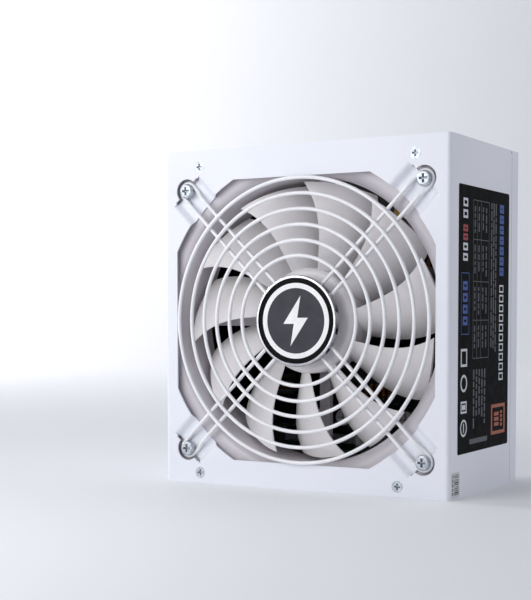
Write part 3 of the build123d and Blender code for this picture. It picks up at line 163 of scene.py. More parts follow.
def circuit_board(name, mask, track, pad):
    """Laminate under solder mask: square tracks a shade paler than the mask, and round tinned pads."""
    made, tree, shader, place = start_material(name, mask, 0.4)
    turned = add_node(tree, "ShaderNodeMapping", {"Rotation": (math.radians(90), 0.0, 0.0)},
                      {"Vector": (place, "Object")})
    tracks = add_node(tree, "ShaderNodeTexBrick", {"Scale": per_mm(12.0), "Color1": srgb(mask),
                      "Color2": srgb(track), "Mortar": srgb(mask), "Mortar Size": 0.03, "Bias": -0.2},
                      {"Vector": (turned, "Vector")})
    cells = add_node(tree, "ShaderNodeTexVoronoi", {"Scale": per_mm(5.0)}, {"Vector": (turned, "Vector")})
    pads = add_node(tree, "ShaderNodeMapRange", {"From Min": 0.16, "From Max": 0.13},
                    {"Value": (cells, "Distance")})
    blend = add_node(tree, "ShaderNodeMixRGB", {"Color2": srgb(pad)},
                     {"Fac": (pads, "Result"), "Color1": (tracks, "Color")})
    tree.links.new(blend.outputs["Color"], shader.inputs["Base Color"])
    bump = add_node(tree, "ShaderNodeBump", {"Strength": 0.3, "Distance": 0.05 * MM},
                    {"Height": (tracks, "Fac")})
    tree.links.new(bump.outputs["Normal"], shader.inputs["Normal"])
    return made


def wound_tape(name, pale, dark, width):
    """Polyester tape wound in layers: paler and darker bands with a thin step at each edge."""
    made, tree, shader, place = start_material(name, pale, 0.32, Coat_Weight=0.2)
    bands = add_node(tree, "ShaderNodeTexWave", {"Scale": per_mm(width) / 20, "Distortion": 1.2,
                     "Detail": 2.0}, {"Vector": (place, "Object")}, bands_direction="Z")
    colors = add_node(tree, "ShaderNodeValToRGB", links={"Fac": (bands, "Fac")})
    colors.color_ramp.elements[0].color = srgb(dark)
    colors.color_ramp.elements[1].color = srgb(pale)
    tree.links.new(colors.outputs["Color"], shader.inputs["Base Color"])
    bump = add_node(tree, "ShaderNodeBump", {"Strength": 0.3, "Distance": 0.1 * MM},
                    {"Height": (bands, "Fac")})
    tree.links.new(bump.outputs["Normal"], shader.inputs["Normal"])
    return made


FINISHES = {}


def make_finishes(look):
    """Every finish of the unit, named for what it is and how it was made."""
    listed = [
        # case: an even satin white with the fine waves of baked powder
        surface("powder_coated_steel", "#E9EBF2", "#E3E6EE", 0.42, cloud=60, grain=look.orange_peel,
                depth=0.2, height=0.06, Coat_Weight=0.1, Coat_Roughness=0.3),
        # guard: glossier powder, so that each round wire carries a thin highlight
        surface("powder_coated_wire", "#EFEFF1", "#E7E7EA", 0.3, cloud=12, grain=0.8, depth=0.12,
                Coat_Weight=0.2, Coat_Roughness=0.15),
        # screws: bluish metal with dull spots
        surface("bright_zinc_plate", "#D5DADF", "#A2A9B1", 0.48, 1.0, cloud=1.3, grain=0.3, depth=0.2,
                spread=0.1),
        # badge rim: a smooth grey metal line round the badge
        surface("polished_chrome", "#BDBDC2", "#A3A3A9", 0.16, 1.0, cloud=3, grain=0.5, depth=0.03,
                spread=0.04),
        # fan frame: a greyer white than the case, partly its own tint and partly painted shade for the
        # recessed fan mouth, satin with fine grain
        surface("moulded_white_PBT", "#CBC6CB", "#C0BBC1", 0.4, cloud=25, grain=0.5, depth=0.08),
        # blades and hub: a clean, slightly warm white with a soft shine
        surface("moulded_white_ABS", "#EEEBEB", "#E6E3E4", 0.36, cloud=25, grain=0.6, depth=0.06),
        # plugs and output sockets: creamy white
        surface("moulded_white_nylon", "#E9E6DC", "#DDD9CD", 0.36, cloud=8, grain=0.4),
        # inlet and switch: deep black with a satin sheen
        surface("moulded_black_PBT", "#17181A", "#101113", 0.42, cloud=12, grain=0.4, depth=0.15),
        # chips, rectifier and transistors: dull charcoal
        surface("moulded_black_epoxy", "#1C1C1D", "#121213", 0.55, cloud=6, grain=0.3, depth=0.2),
        # relay: plain mid grey
        surface("moulded_grey_PBT", "#8D9095", "#7D8085", 0.45, cloud=9, grain=0.4),
        # film capacitors: strong yellow boxes
        surface("moulded_yellow_box", "#D9A91C", "#C3940F", 0.35, cloud=9, grain=0.5),
        # safety capacitors and ceramic discs: glossy blue
        surface("dipped_blue_epoxy", "#2A5CA8", "#1E4A90", 0.3, cloud=3, grain=1.0),
        # resistor bodies: biscuit tan
        surface("dipped_tan_epoxy", "#B98A4E", "#9C7038", 0.35, cloud=2, grain=0.6),
        # capacitor sleeves: black with slow waves in the shine
        surface("shrunk_black_sleeve", "#101115", "#0B0C0F", 0.35, cloud=9, grain=2.0, depth=0.1),
        # insulating film: dull black as painted shade, so that the space round the board stays dark
        surface("insulating_film", "#0B0B0C", "#070708", 0.55, cloud=20, grain=6.0, Specular_IOR_Level=0.3),
        # windings: dark brown metal, darkened as painted shade for their place deep inside the case
        surface("enamelled_copper", "#3F271A", "#27170F", 0.4, 1.0, cloud=2.0, grain=0.6, depth=0.1),
        # heatsinks: black metal with fine lines along the extrusion
        surface("black_anodised_aluminium", "#222326", "#18191B", 0.45, 1.0, cloud=1.2, grain=0.5,
                run=(1, 0.05, 1)),
        # capacitor tops: pale bare metal
        surface("bright_can_aluminium", "#D4D6D8", "#B9BBBE", 0.3, 1.0, cloud=2.0, grain=0.3),
        # shaft and clip: bright metal with fine grinding lines
        surface("ground_bar_steel", "#C6C8CA", "#A9ABAE", 0.22, 1.0, cloud=0.6, grain=0.2, run=(1, 0.2, 1)),
        # rotor yoke: soft grey metal
        surface("zinc_plated_stamping", "#A8ACB0", "#8D9195", 0.35, 1.0, cloud=2.0, grain=0.5),
        # stator core: dark grey metal with the edges of stacked sheets
        surface("stacked_laminations", "#7B7D80", "#55575A", 0.45, 1.0, cloud=0.5, grain=0.4,
                run=(0.1, 1, 0.1), depth=0.4),
        # pins, terminals and standoffs: pale golden metal
        surface("nickel_plated_brass", "#CFC6AE", "#B8AE92", 0.25, 1.0, cloud=2.0, grain=0.4),
        # busbars, lug and component legs: pale metal with the lumps of solder
        surface("tinned_copper", "#C4C5C4", "#A2A3A3", 0.35, 1.0, cloud=3.0, grain=0.8, depth=0.25),
        # bearing: brown-gold metal with open grain
        surface("sintered_bronze", "#A07A42", "#7C5C2E", 0.4, 1.0, cloud=0.6, grain=0.2, depth=0.3),
        # transformer and filter cores: dull near-black with a stone grain
        surface("sintered_ferrite", "#26272A", "#18191B", 0.6, cloud=2.0, grain=0.5, depth=0.35),
        # rotor magnet: the dullest black in the fan
        surface("bonded_ferrite", "#1F1F21", "#141416", 0.7, cloud=1.0, grain=0.3, depth=0.3),
        # choke rings: very dark green with a speckled coat
        surface("coated_iron_powder", "#2C3B33", "#1F2B25", 0.45, cloud=2.5, grain=0.8, depth=0.25),
        # black leads: soft plastic sheen
        surface("black_PVC", "#161616", "#0D0D0D", 0.42, cloud=5, grain=0.8),
        # earth lead: leaf green
        surface("green_PVC", "#2E7A35", "#25682C", 0.42, cloud=5, grain=0.8),
        # seam strip: painted shade, a thin dark line that stands for the shadowed gap where the halves of the
        # case meet
        surface("black_sealant", "#2A2A2E", "#1C1C1F", 0.6, cloud=3, grain=0.8, depth=0.3),
        # silicone dabs: lumpy off-white
        surface("white_silicone", "#D8D7D0", "#C6C5BD", 0.55, cloud=2, grain=1.0, depth=0.4, height=0.2),
        # large label: flat black that hardly reflects
        surface("black_label_film", "#050607", "#030405", 0.5, cloud=30, grain=5.0, depth=0.12, height=0.15,
                Specular_IOR_Level=0.03),
        # small label: plain white paper
        surface("white_label_paper", "#D9D9DB", "#CFCFD2", 0.55, cloud=3, grain=0.3),
        # badge disc: black ring round the field
        surface("black_enamel", "#08080A", "#050506", 0.5, cloud=10, grain=4.0, depth=0.05,
                Specular_IOR_Level=0.08),
        # badge field: dark grey in the middle
        surface("graphite_enamel", "#3A3B42", "#33343A", 0.5, cloud=8, grain=3.0, depth=0.05,
                Specular_IOR_Level=0.25),
        # badge ring: bright white
        surface("white_enamel", "#EFEFEF", "#E6E6E7", 0.28, cloud=8, grain=2.0, depth=0.05),
        # inks: flat colour with the mottle of a thin layer; white for titles and for the switch's marks
        surface("white_ink", "#D6D9DE", "#C3C7CE", 0.42, cloud=0.8, grain=0.4, depth=0.05),
        # table and small print, quiet against the black
        surface("grey_ink", "#4B4F57", "#3A3E45", 0.5, cloud=0.8, grain=0.4, depth=0.05),
        # first blocks of the title and the framed rating
        surface("blue_ink", "#1C4C9E", "#153D84", 0.5, cloud=0.8, grain=0.4, depth=0.05),
        # the label's accent and the resistors' bands
        surface("red_ink", "#9E1F2B", "#861822", 0.5, cloud=0.8, grain=0.4, depth=0.05),
        # the plaque
        surface("bronze_ink", "#A95428", "#8C421C", 0.45, cloud=0.8, grain=0.4, depth=0.05),
        # bars of the small white label
        surface("black_ink", "#26272B", "#1A1B1E", 0.42, cloud=0.8, grain=0.4, depth=0.05),
        # main and filter boards: near black as painted shade deep in the case, with tracks that barely show
        circuit_board("black_solder_mask", "#0A0B0D", "#0F1113", "#3A3C3B"),
        # fan and socket boards: dark green with paler tracks
        circuit_board("green_solder_mask", "#0E3A22", "#185A36", "#9A9C96"),
        # transformer: yellow in layered bands
        wound_tape("wound_yellow_tape", "#DDC13E", "#BFA024", 3.0),
    ]
    FINISHES.update({made.name: made for made in listed})


def finish_nodes(finish, *names):
    """Gives CAD nodes a finish and leaves their shape alone."""
    for name in names:
        for slot in NODES[name].material_slots:
            slot.material = FINISHES[finish]


# ---------------------------------------------------------------- making pieces
def keep_piece(name, shape, finish, body, sharp=35.0):
    """Makes a finished bmesh an object at the origin that rides on a body."""
    mesh = bpy.data.meshes.new(name)
    shape.to_mesh(mesh)
    shape.free()
    mesh.materials.append(FINISHES[finish])
    mesh.shade_smooth()
    mesh.set_sharp_from_angle(angle=math.radians(sharp))
    made = bpy.data.objects.new(name, mesh)
    bpy.context.scene.collection.objects.link(made)
    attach(made, body)
    return made


def add_bar(shape, low, high, soft=0.0, segments=2):
    """A closed bar between two corners in millimetres, with its edges rounded by soft."""
    low, high = Vector(low) * MM, Vector(high) * MM
    where = Matrix.Translation((low + high) / 2) @ Matrix.Diagonal((*(high - low), 1.0))
    verts = bmesh.ops.create_cube(shape, size=1.0, matrix=where)["verts"]
    if soft:
        edges = list(dict.fromkeys(edge for vert in verts for edge in vert.link_edges))
        bmesh.ops.bevel(shape, geom=edges, offset=soft * MM, offset_type="OFFSET", segments=segments,
                        profile=0.5, affect="EDGES", material=-1, clamp_overlap=True)


def add_turned(shape, center, axis, profile, steps=32):
    """A closed turned form: profile lists (radius, height) in millimetres along the axis from center."""
    axis = axis.normalized()
    side = axis.orthogonal().normalized()
    origin = Vector(center)
    verts = [shape.verts.new((origin + side * radius + axis * height) * MM) for radius, height in profile]
    edges = [shape.edges.new(pair) for pair in zip(verts, verts[1:])]
    if profile[0][0] > 0 and profile[-1][0] > 0:
        edges.append(shape.edges.new((verts[-1], verts[0])))
    before = set(shape.faces)
    bmesh.ops.spin(shape, geom=verts + edges, cent=origin * MM, axis=axis, angle=math.tau, steps=steps,
                   use_merge=True, use_duplicate=False)
    faces = [face for face in shape.faces if face not in before]
    around = list(dict.fromkeys(vert for face in faces for vert in face.verts))
    bmesh.ops.remove_doubles(shape, verts=around, dist=0.0005 * MM)
    faces = [face for face in shape.faces if face not in before]
    bmesh.ops.recalc_face_normals(shape, faces=faces)


# ---------------------------------------------------------------- settings
class PSU_PG_case(bpy.types.PropertyGroup):
    orange_peel: FloatProperty(name="Orange peel", description="Width of the waves in the powder coat, mm",
                               default=1.6, min=0.3, max=6.0)
    seam: FloatProperty(name="Seam", description="Width of the seam between the case's halves, mm",
                        default=0.3)
    # the dark strip in the seam is painted shade; this sets how deep it lies
    shade_strip_sink: FloatProperty(name="Shade strip sink", description="How deep the seam's bead lies, mm", default=0.06)


class PSU_PG_label(bpy.types.PropertyGroup):
    film: FloatProperty(name="Film", description="Thickness of the label film, mm", default=0.08, min=0.02,
                        max=0.1)
    ink: FloatProperty(name="Ink", description="Thickness of the printed ink, mm", default=0.02, min=0.005,
                       max=0.04)
    corner: FloatProperty(name="Corner", description="Radius of the label's corners, mm", default=1.0,
                          min=0.0, max=3.0)
    seed: IntProperty(name="Seed", description="Chooses the lengths of the printed bars", default=7)


class PSU_PG_guard(bpy.types.PropertyGroup):
    outer_ring: FloatProperty(name="Outer ring", description="Radius of the outer ring's middle, mm",
                              default=65.75)
    ring_pitch: FloatProperty(name="Ring pitch", description="Distance between the rings, mm", default=7.15)
    ring_count: IntProperty(name="Rings", description="Number of visible rings", default=6, min=1)
    leg_half_spacing: FloatProperty(name="Leg half spacing", description="From a diagonal to its wires, mm",
                                    default=3.45)
    weld: FloatProperty(name="Weld", description="Radius of a weld nugget, mm", default=0.8)


class PSU_PG_board(bpy.types.PropertyGroup):
    vent_line: FloatProperty(name="Vent line", default=0.5,
                             description="Width of the lines stamped into a capacitor's top, mm")
    collar: FloatProperty(name="Collar", description="How far the sleeve folds over a capacitor's rim, mm",
                          default=0.9)


class PSU_PG_marks(bpy.types.PropertyGroup):
    tilt: FloatProperty(name="Tilt", description="How far the rocker is tipped, and the slope of its halves",
                        default=math.radians(10.0), subtype="ANGLE")
    crown: FloatProperty(name="Crown", default=3.4,
                         description="From the pivot up to the rocker's middle, mm")
    reach: FloatProperty(name="Reach", description="From the middle out to each mark, mm", default=4.6)
    ink: FloatProperty(name="Ink", description="Height of the printed marks, mm", default=0.04)


class PSU_PG_stage(bpy.types.PropertyGroup):
    floor_color: FloatVectorProperty(name="Floor", description="Colour of the floor and backdrop",
                                     subtype="COLOR", default=srgb("#ECEDF0")[:3], min=0.0, max=1.0)
    key_power: FloatProperty(name="Key", description="Power of the key light", default=1.3, subtype="POWER")
    side_power: FloatProperty(name="Side", description="Power of the side light", default=2.1,
                              subtype="POWER")
    back_power: FloatProperty(name="Backdrop", description="Power of the backdrop light", default=46.0,
                              subtype="POWER")
    sky: FloatProperty(name="Sky", description="Strength of the soft light all round", default=0.43)
    lens: FloatProperty(name="Lens", description="Focal length, mm", default=77.07)
    place: FloatVectorProperty(name="Camera", description="Place of the camera", subtype="XYZ",
                               default=(0.2898, -0.5609, 0.0822))
    turn: FloatProperty(name="Turn", description="Camera's turn to the left of straight on",
                        default=math.radians(29.59), subtype="ANGLE")
    tilt: FloatProperty(name="Tilt", description="Camera's tilt down", default=math.radians(2.95),
                        subtype="ANGLE")


# ---------------------------------------------------------------- operators
class PSU_OT_finishes(bpy.types.Operator):
    """Give every CAD node its finish"""
    bl_idname = "psu.finishes"
    bl_label = "Finishes"

    def execute(self, context):
        make_finishes(context.scene.psu_case)
        finish_nodes("powder_coated_steel", "fan_cover", "base_chassis")
        finish_nodes("powder_coated_wire", "fan_grille")
        finish_nodes("bright_zinc_plate", "cover_screws", "grille_screws", "earth_screw", "board_screws")
        finish_nodes("polished_chrome", "badge_rim")
        finish_nodes("black_enamel", "badge_disc")
        finish_nodes("white_enamel", "badge_print")
        finish_nodes("black_label_film", "spec_label")
        finish_nodes("white_label_paper", "serial_label")
        # the frame's grey is partly painted shade in the recessed mouth
        finish_nodes("moulded_white_PBT", "fan_frame")
        finish_nodes("moulded_white_ABS", "fan_impeller")
        finish_nodes("zinc_plated_stamping", "rotor_yoke")
        finish_nodes("bonded_ferrite", "rotor_magnet")
        finish_nodes("ground_bar_steel", "fan_shaft", "shaft_clip")
        finish_nodes("sintered_bronze", "bearing_sleeve")
        finish_nodes("stacked_laminations", "stator_core")
        finish_nodes("enamelled_copper", "stator_windings", "filter_choke_winding", "pfc_choke_winding",
                     "output_choke_winding")
        finish_nodes("green_solder_mask", "fan_circuit_board", "socket_board")
        # the boards' near black is painted shade deep inside the case
        finish_nodes("black_solder_mask", "main_board", "emi_board")
        finish_nodes("black_PVC", "fan_lead", "mains_leads")
        finish_nodes("green_PVC", "earth_lead")
        finish_nodes("moulded_white_nylon", "fan_plug", "socket_24_pin", "sockets_8_pin", "sockets_6_pin")
        finish_nodes("moulded_black_PBT", "ac_inlet", "switch_housing", "switch_rocker")
        finish_nodes("nickel_plated_brass", "inlet_pins", "switch_terminals", "board_standoffs",
                     "socket_pins")
        finish_nodes("tinned_copper", "earth_lug", "output_busbars")
        # the sheet's black is painted shade that keeps the inside of the case dark
        finish_nodes("insulating_film", "insulation_sheet")
        finish_nodes("sintered_ferrite", "filter_choke_core", "transformer_core")
        finish_nodes("coated_iron_powder", "pfc_choke_core", "output_choke_core")
        finish_nodes("moulded_yellow_box", "x_capacitors")
        finish_nodes("dipped_blue_epoxy", "y_capacitors")
        finish_nodes("moulded_grey_PBT", "inrush_relay")
        finish_nodes("moulded_black_epoxy", "bridge_rectifier", "primary_transistors",
                     "secondary_transistors")
        finish_nodes("shrunk_black_sleeve", "bulk_capacitor", "output_capacitors")
        finish_nodes("black_anodised_aluminium", "primary_heatsink", "secondary_heatsink")
        finish_nodes("wound_yellow_tape", "transformer_winding")
        return {"FINISHED"}


def label_film(name, node, finish, settings):
    """The film of a side label with rounded corners, in the place of its CAD node."""
    low, high = node_box(node)
    shape = bmesh.new()
    where = Matrix.Translation((Vector((low.x, (low.y + high.y) / 2, (low.z + high.z) / 2)) +
                                RIGHT * settings.film / 2) * MM)
    size = Matrix.Diagonal((settings.film * MM, (high.y - low.y) * MM, (high.z - low.z) * MM, 1.0))
    bmesh.ops.create_cube(shape, size=1.0, matrix=where @ size)
    corners = [edge for edge in shape.edges
               if abs(edge.verts[0].co.x - edge.verts[1].co.x) > 0.5 * settings.film * MM]
    bmesh.ops.bevel(shape, geom=corners, offset=settings.corner * MM, offset_type="OFFSET", segments=6,
                    profile=0.5, affect="EDGES", material=-1)
    made = keep_piece(name, shape, finish, "unit")
    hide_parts(node)
    return low.x + settings.film, low.y, high.z


class SidePrint:
    """Bars of ink on a side label: u runs down from its top edge and v back from its front edge, in mm."""

    def __init__(self, corner, settings):
        self.x, self.y, self.top = corner
        self.ink = settings.ink
        self.shape = bmesh.new()

    def bar(self, u0, u1, v0, v1):
        """A solid bar of ink."""
        add_bar(self.shape, (self.x - self.ink / 4, self.y + v0, self.top - u1),
                (self.x + self.ink, self.y + v1, self.top - u0))

    def outline(self, u0, u1, v0, v1, line):
        """A rectangle of lines."""
        self.bar(u0, u1, v0, v0 + line)
        self.bar(u0, u1, v1 - line, v1)
        self.bar(u0, u0 + line, v0 + line, v1 - line)
        self.bar(u1 - line, u1, v0 + line, v1 - line)

    def words(self, u0, u1, v0, v1, pick, shortest, longest, space):
        """A row of bars of uneven lengths, as plain text looks from far away."""
        at = u0
        while at < u1 - shortest:
            end = min(at + pick.uniform(shortest, longest), u1)
            self.bar(at, end, v0, v1)
            at = end + space

    def blocks(self, u0, u1, v0, v1, wide, space, line):
        """A row of equal hollow blocks where a title would be."""
        at = u0
        while at + wide <= u1:
            self.outline(at, at + wide, v0, v1, line)
            at += wide + space

    def ring(self, u, v, outer, inner):
        """A ring of ink."""
        add_turned(self.shape, (self.x, self.y + v, self.top - u), RIGHT,
                   [(inner, -self.ink / 4), (outer, -self.ink / 4), (outer, self.ink), (inner, self.ink)])

    def keep(self, name, finish):
        """Finishes the ink as a piece of the unit."""
        return keep_piece(name, self.shape, finish, "unit")


class PSU_OT_spec_label(bpy.types.Operator):
    """Make the black label on the right side, with plain bars in place of its words"""
    bl_idname = "psu.spec_label"
    bl_label = "Rating label"

    def execute(self, context):
        settings = context.scene.psu_label
        corner = label_film("spec_label_film", "spec_label", "black_label_film", settings)
        pick = random.Random(settings.seed)
        white, grey, blue, red, bronze = (SidePrint(corner, settings) for _ in range(5))
        # the title in large blocks, blue then white
        blue.blocks(5.8, 40.5, 50.6, 56.0, 4.0, 0.9, 1.7)
        white.blocks(43.5, 91.5, 50.6, 56.0, 3.6, 1.0, 0.75)
        # the maker's column, blank blocks with one red accent, and the framed rating
        white.blocks(5.8, 17.0, 5.2, 10.6, 3.8, 1.3, 1.1)
        red.blocks(17.6, 24.6, 5.2, 10.6, 3.0, 0.9, 1.2)
        white.blocks(25.6, 34.0, 5.2, 10.6, 3.4, 1.2, 1.1)
        blue.outline(38.8, 66.3, 3.2, 12.6, 0.35)
        blue.blocks(42.6, 62.6, 5.2, 10.6, 4.0, 1.2, 1.4)
        # plain geometric marks
        white.outline(72.6, 80.6, 3.2, 10.6, 1.1)
        white.ring(88.0, 6.9, 3.9, 2.8)
        white.outline(96.0, 101.4, 3.4, 10.4, 0.9)
        white.bar(97.6, 99.8, 4.9, 8.9)
        white.ring(108.0, 6.9, 3.9, 2.9)
        white.bar(105.9, 110.1, 6.4, 7.4)
        # the table
        for v in (17.2, 21.7, 26.7, 36.7):
            grey.bar(5.8, 77.3, v, v + 0.35)
        for u in (5.8, 23.4, 42.3, 59.8, 77.0):
            grey.bar(u, u + 0.35, 17.5, 36.7)
        for v in (18.7, 23.5, 28.6, 32.6):
            for u0, u1 in ((7.6, 22.2), (25.0, 41.0), (44.0, 58.4), (61.4, 75.6)):
                grey.words(u0 + 1.0, u1 - 1.0, v, v + 1.3, pick, 1.6, 4.4, 0.8)
        # small print in three groups
        for v in (39.4, 42.2, 45.0):
            grey.words(5.8, 74.8, v, v + 1.35, pick, 2.0, 7.5, 0.8)
        for v in (18.0, 21.4, 24.8, 28.2, 31.6):
            grey.words(82.3, pick.uniform(103.0, 110.3), v, v + 1.5, pick, 1.8, 5.0, 0.8)
        grey.words(113.6, 116.2, 14.0, 36.0, pick, 2.2, 2.4, 0.8)
        # a plain bronze plaque
        bronze.outline(99.6, 113.8, 41.0, 59.2, 1.6)
        bronze.words(103.4, 110.2, 45.0, 51.0, pick, 1.6, 2.2, 0.7)
        bronze.words(103.0, 110.6, 53.0, 55.6, pick, 1.3, 1.9, 0.6)
        for ink, name, finish in ((white, "white", "white_ink"), (grey, "grey", "grey_ink"),
                                  (blue, "blue", "blue_ink"), (red, "red", "red_ink"),
                                  (bronze, "bronze", "bronze_ink")):
            ink.keep(f"spec_label_{name}_print", finish)
        return {"FINISHED"}


class PSU_OT_serial_label(bpy.types.Operator):
    """Make the small white label near the floor, with plain bars"""
    bl_idname = "psu.serial_label"
    bl_label = "Serial label"

    def execute(self, context):
        settings = context.scene.psu_label
        corner = label_film("serial_label_film", "serial_label", "white_label_paper", settings)
        pick = random.Random(settings.seed + 1)
        black = SidePrint(corner, settings)
        at = 1.0
        while at < 10.2:
            wide = pick.choice((0.25, 0.4, 0.65))
            black.bar(at, at + wide, 3.4, 8.4)
            at += wide + pick.choice((0.3, 0.45, 0.6))
        black.words(1.0, 10.4, 1.2, 2.3, pick, 0.8, 1.8, 0.5)
        black.keep("serial_label_print", "black_ink")
        return {"FINISHED"}


class PSU_OT_badge(bpy.types.Operator):
    """Lay the graphite field inside the badge's white ring"""
    bl_idname = "psu.badge"
    bl_label = "Badge field"

    def execute(self, context):
        low, _ = node_box("badge_disc")
        radius, sunk, proud = 15.05, -0.02, 0.05
        shape = bmesh.new()
        add_turned(shape, (FAN_CENTER.x, low.y, FAN_CENTER.z), FRONT,
                   [(0.0, sunk), (radius, sunk), (radius, proud), (0.0, proud)], steps=96)
        keep_piece("badge_field", shape, "graphite_enamel", "unit")
        return {"FINISHED"}


# guard: where its rings' middle lies behind the front of its wires, and the welds behind that, in mm
RING_DEPTH = 0.9
WELD_DEPTH = 0.85
WELD_SHAPE = (1.35, 0.95, 1.35, 1.0)


class PSU_OT_guard_welds(bpy.types.Operator):
    """Put a flattened weld nugget at each crossing of the guard's rings and legs"""
    bl_idname = "psu.guard_welds"
    bl_label = "Guard welds"

    def execute(self, context):
        guard = context.scene.psu_guard
        low, _ = node_box("fan_grille")
        weld_y = low.y + RING_DEPTH + WELD_DEPTH
        shape = bmesh.new()
        for number in range(guard.ring_count):
            radius = guard.outer_ring - number * guard.ring_pitch
            reach = math.sqrt(radius ** 2 - guard.leg_half_spacing ** 2)
            for quarter in range(4):
                turn = math.radians(45 + 90 * quarter)
                for side in (-1, 1):
                    across = side * guard.leg_half_spacing
                    spot = Vector((reach * math.cos(turn) - across * math.sin(turn), 0.0,
                                   reach * math.sin(turn) + across * math.cos(turn)))
                    where = Matrix.Translation((FAN_CENTER + spot) * MM)
                    where.translation.y = weld_y * MM
                    bmesh.ops.create_icosphere(shape, subdivisions=2, radius=guard.weld * MM,
                                               matrix=where @ Matrix.Diagonal(WELD_SHAPE))
        keep_piece("guard_welds", shape, "powder_coated_wire", "unit", sharp=180)
        return {"FINISHED"}


class PSU_OT_seam_shade(bpy.types.Operator):
    """Lay a thin dark strip in the seam between the two halves of the case, as painted shade for the shadowed
    gap
    """
    bl_idname = "psu.seam_beads"
    bl_label = "Seam beads"

    def execute(self, context):
        case = context.scene.psu_case
        low, high = node_box("base_chassis")
        _, cover = node_box("fan_cover")
        wall, lap, foot, head = 0.85, 0.01, 0.4, 3.2
        shape = bmesh.new()
        for side in (-1, 1):
            ends = sorted((side * (cover.x - wall), side * (cover.x - case.shade_strip_sink)))
            add_bar(shape, (ends[0], cover.y - lap, low.z + foot),
                    (ends[1], cover.y + case.seam + lap, high.z - head))
        keep_piece("seam_beads", shape, "black_sealant", "unit")
        return {"FINISHED"}


# how far the vent lines run out from the middle, as a share of the top's radius
VENT_REACH = 0.75


class PSU_OT_capacitor_tops(bpy.types.Operator):
    """Give the electrolytic capacitors their bare aluminium tops, with dark lines laid on as painted shade
    for the stamped vent grooves
    """
    bl_idname = "psu.capacitor_tops"
    bl_label = "Capacitor tops"

    def execute(self, context):
        board = context.scene.psu_board
        tops = bmesh.new()
        lines = bmesh.new()
        for node in ("bulk_capacitor", "output_capacitors"):
            for low, high in solid_boxes(node):
                center = (low + high) / 2
                radius = (high.x - low.x) / 2 - board.collar
                reach, half = radius * VENT_REACH, board.vent_line / 2
                add_turned(tops, (center.x, low.y, center.z), FRONT,
                           [(0.0, -0.3), (radius, -0.3), (radius, 0.02), (radius - 0.15, 0.06), (0.0, 0.06)])
                for wide, tall in ((reach, half), (half, reach)):
                    add_bar(lines, (center.x - wide, low.y - 0.1, center.z - tall),
                            (center.x + wide, low.y - 0.05, center.z + tall))
        keep_piece("capacitor_tops", tops, "bright_can_aluminium", "unit")
        # dark grey lines on the pale tops: painted shade in the stamped vent grooves
        keep_piece("capacitor_vent_lines", lines, "stacked_laminations", "unit")
        return {"FINISHED"}


# small parts on the main board: places in X and Z, sizes and outlines of (radius, height), all in mm
RESISTOR_ROWS = ((-44.0, 62.0), (-4.0, 42.0))
RESISTORS_IN_ROW = 5
RESISTOR_PITCH = 3.4
RESISTOR_LIFT = 1.4
RESISTOR_OUTLINE = [(0.0, -3.1), (0.9, -3.1), (1.15, -2.8), (1.15, -1.9), (0.95, -1.6), (0.95, 1.6),
                    (1.15, 1.9), (1.15, 2.8), (0.9, 3.1), (0.0, 3.1)]
BAND_PLACES = (-2.35, -0.9, 0.1, 2.35)
BAND_HALF_WIDTH = 0.25
LEG_HALF_WIDTH = 0.25
DISC_PLACES = ((6.0, 132.0), (12.5, 132.0), (-30.0, 132.0), (62.0, 52.0), (16.0, 44.0))
DISC_LIFT = 4.2
DISC_OUTLINE = [(0.0, -1.0), (2.4, -1.0), (3.1, -0.5), (3.1, 0.5), (2.4, 1.0), (0.0, 1.0)]
CHIPS = ((-58.0, 48.0, 8.0, 12.0), (8.0, 55.0, 6.5, 9.0), (-20.0, 62.0, 6.5, 5.0))
CHIP_LEG_PITCH = 1.27
CHIP_LEG_REACH = 0.9
SCREW_OUTLINE = [(0.0, -0.5), (2.0, -0.5), (2.0, 0.9), (1.6, 1.3), (0.0, 1.3)]


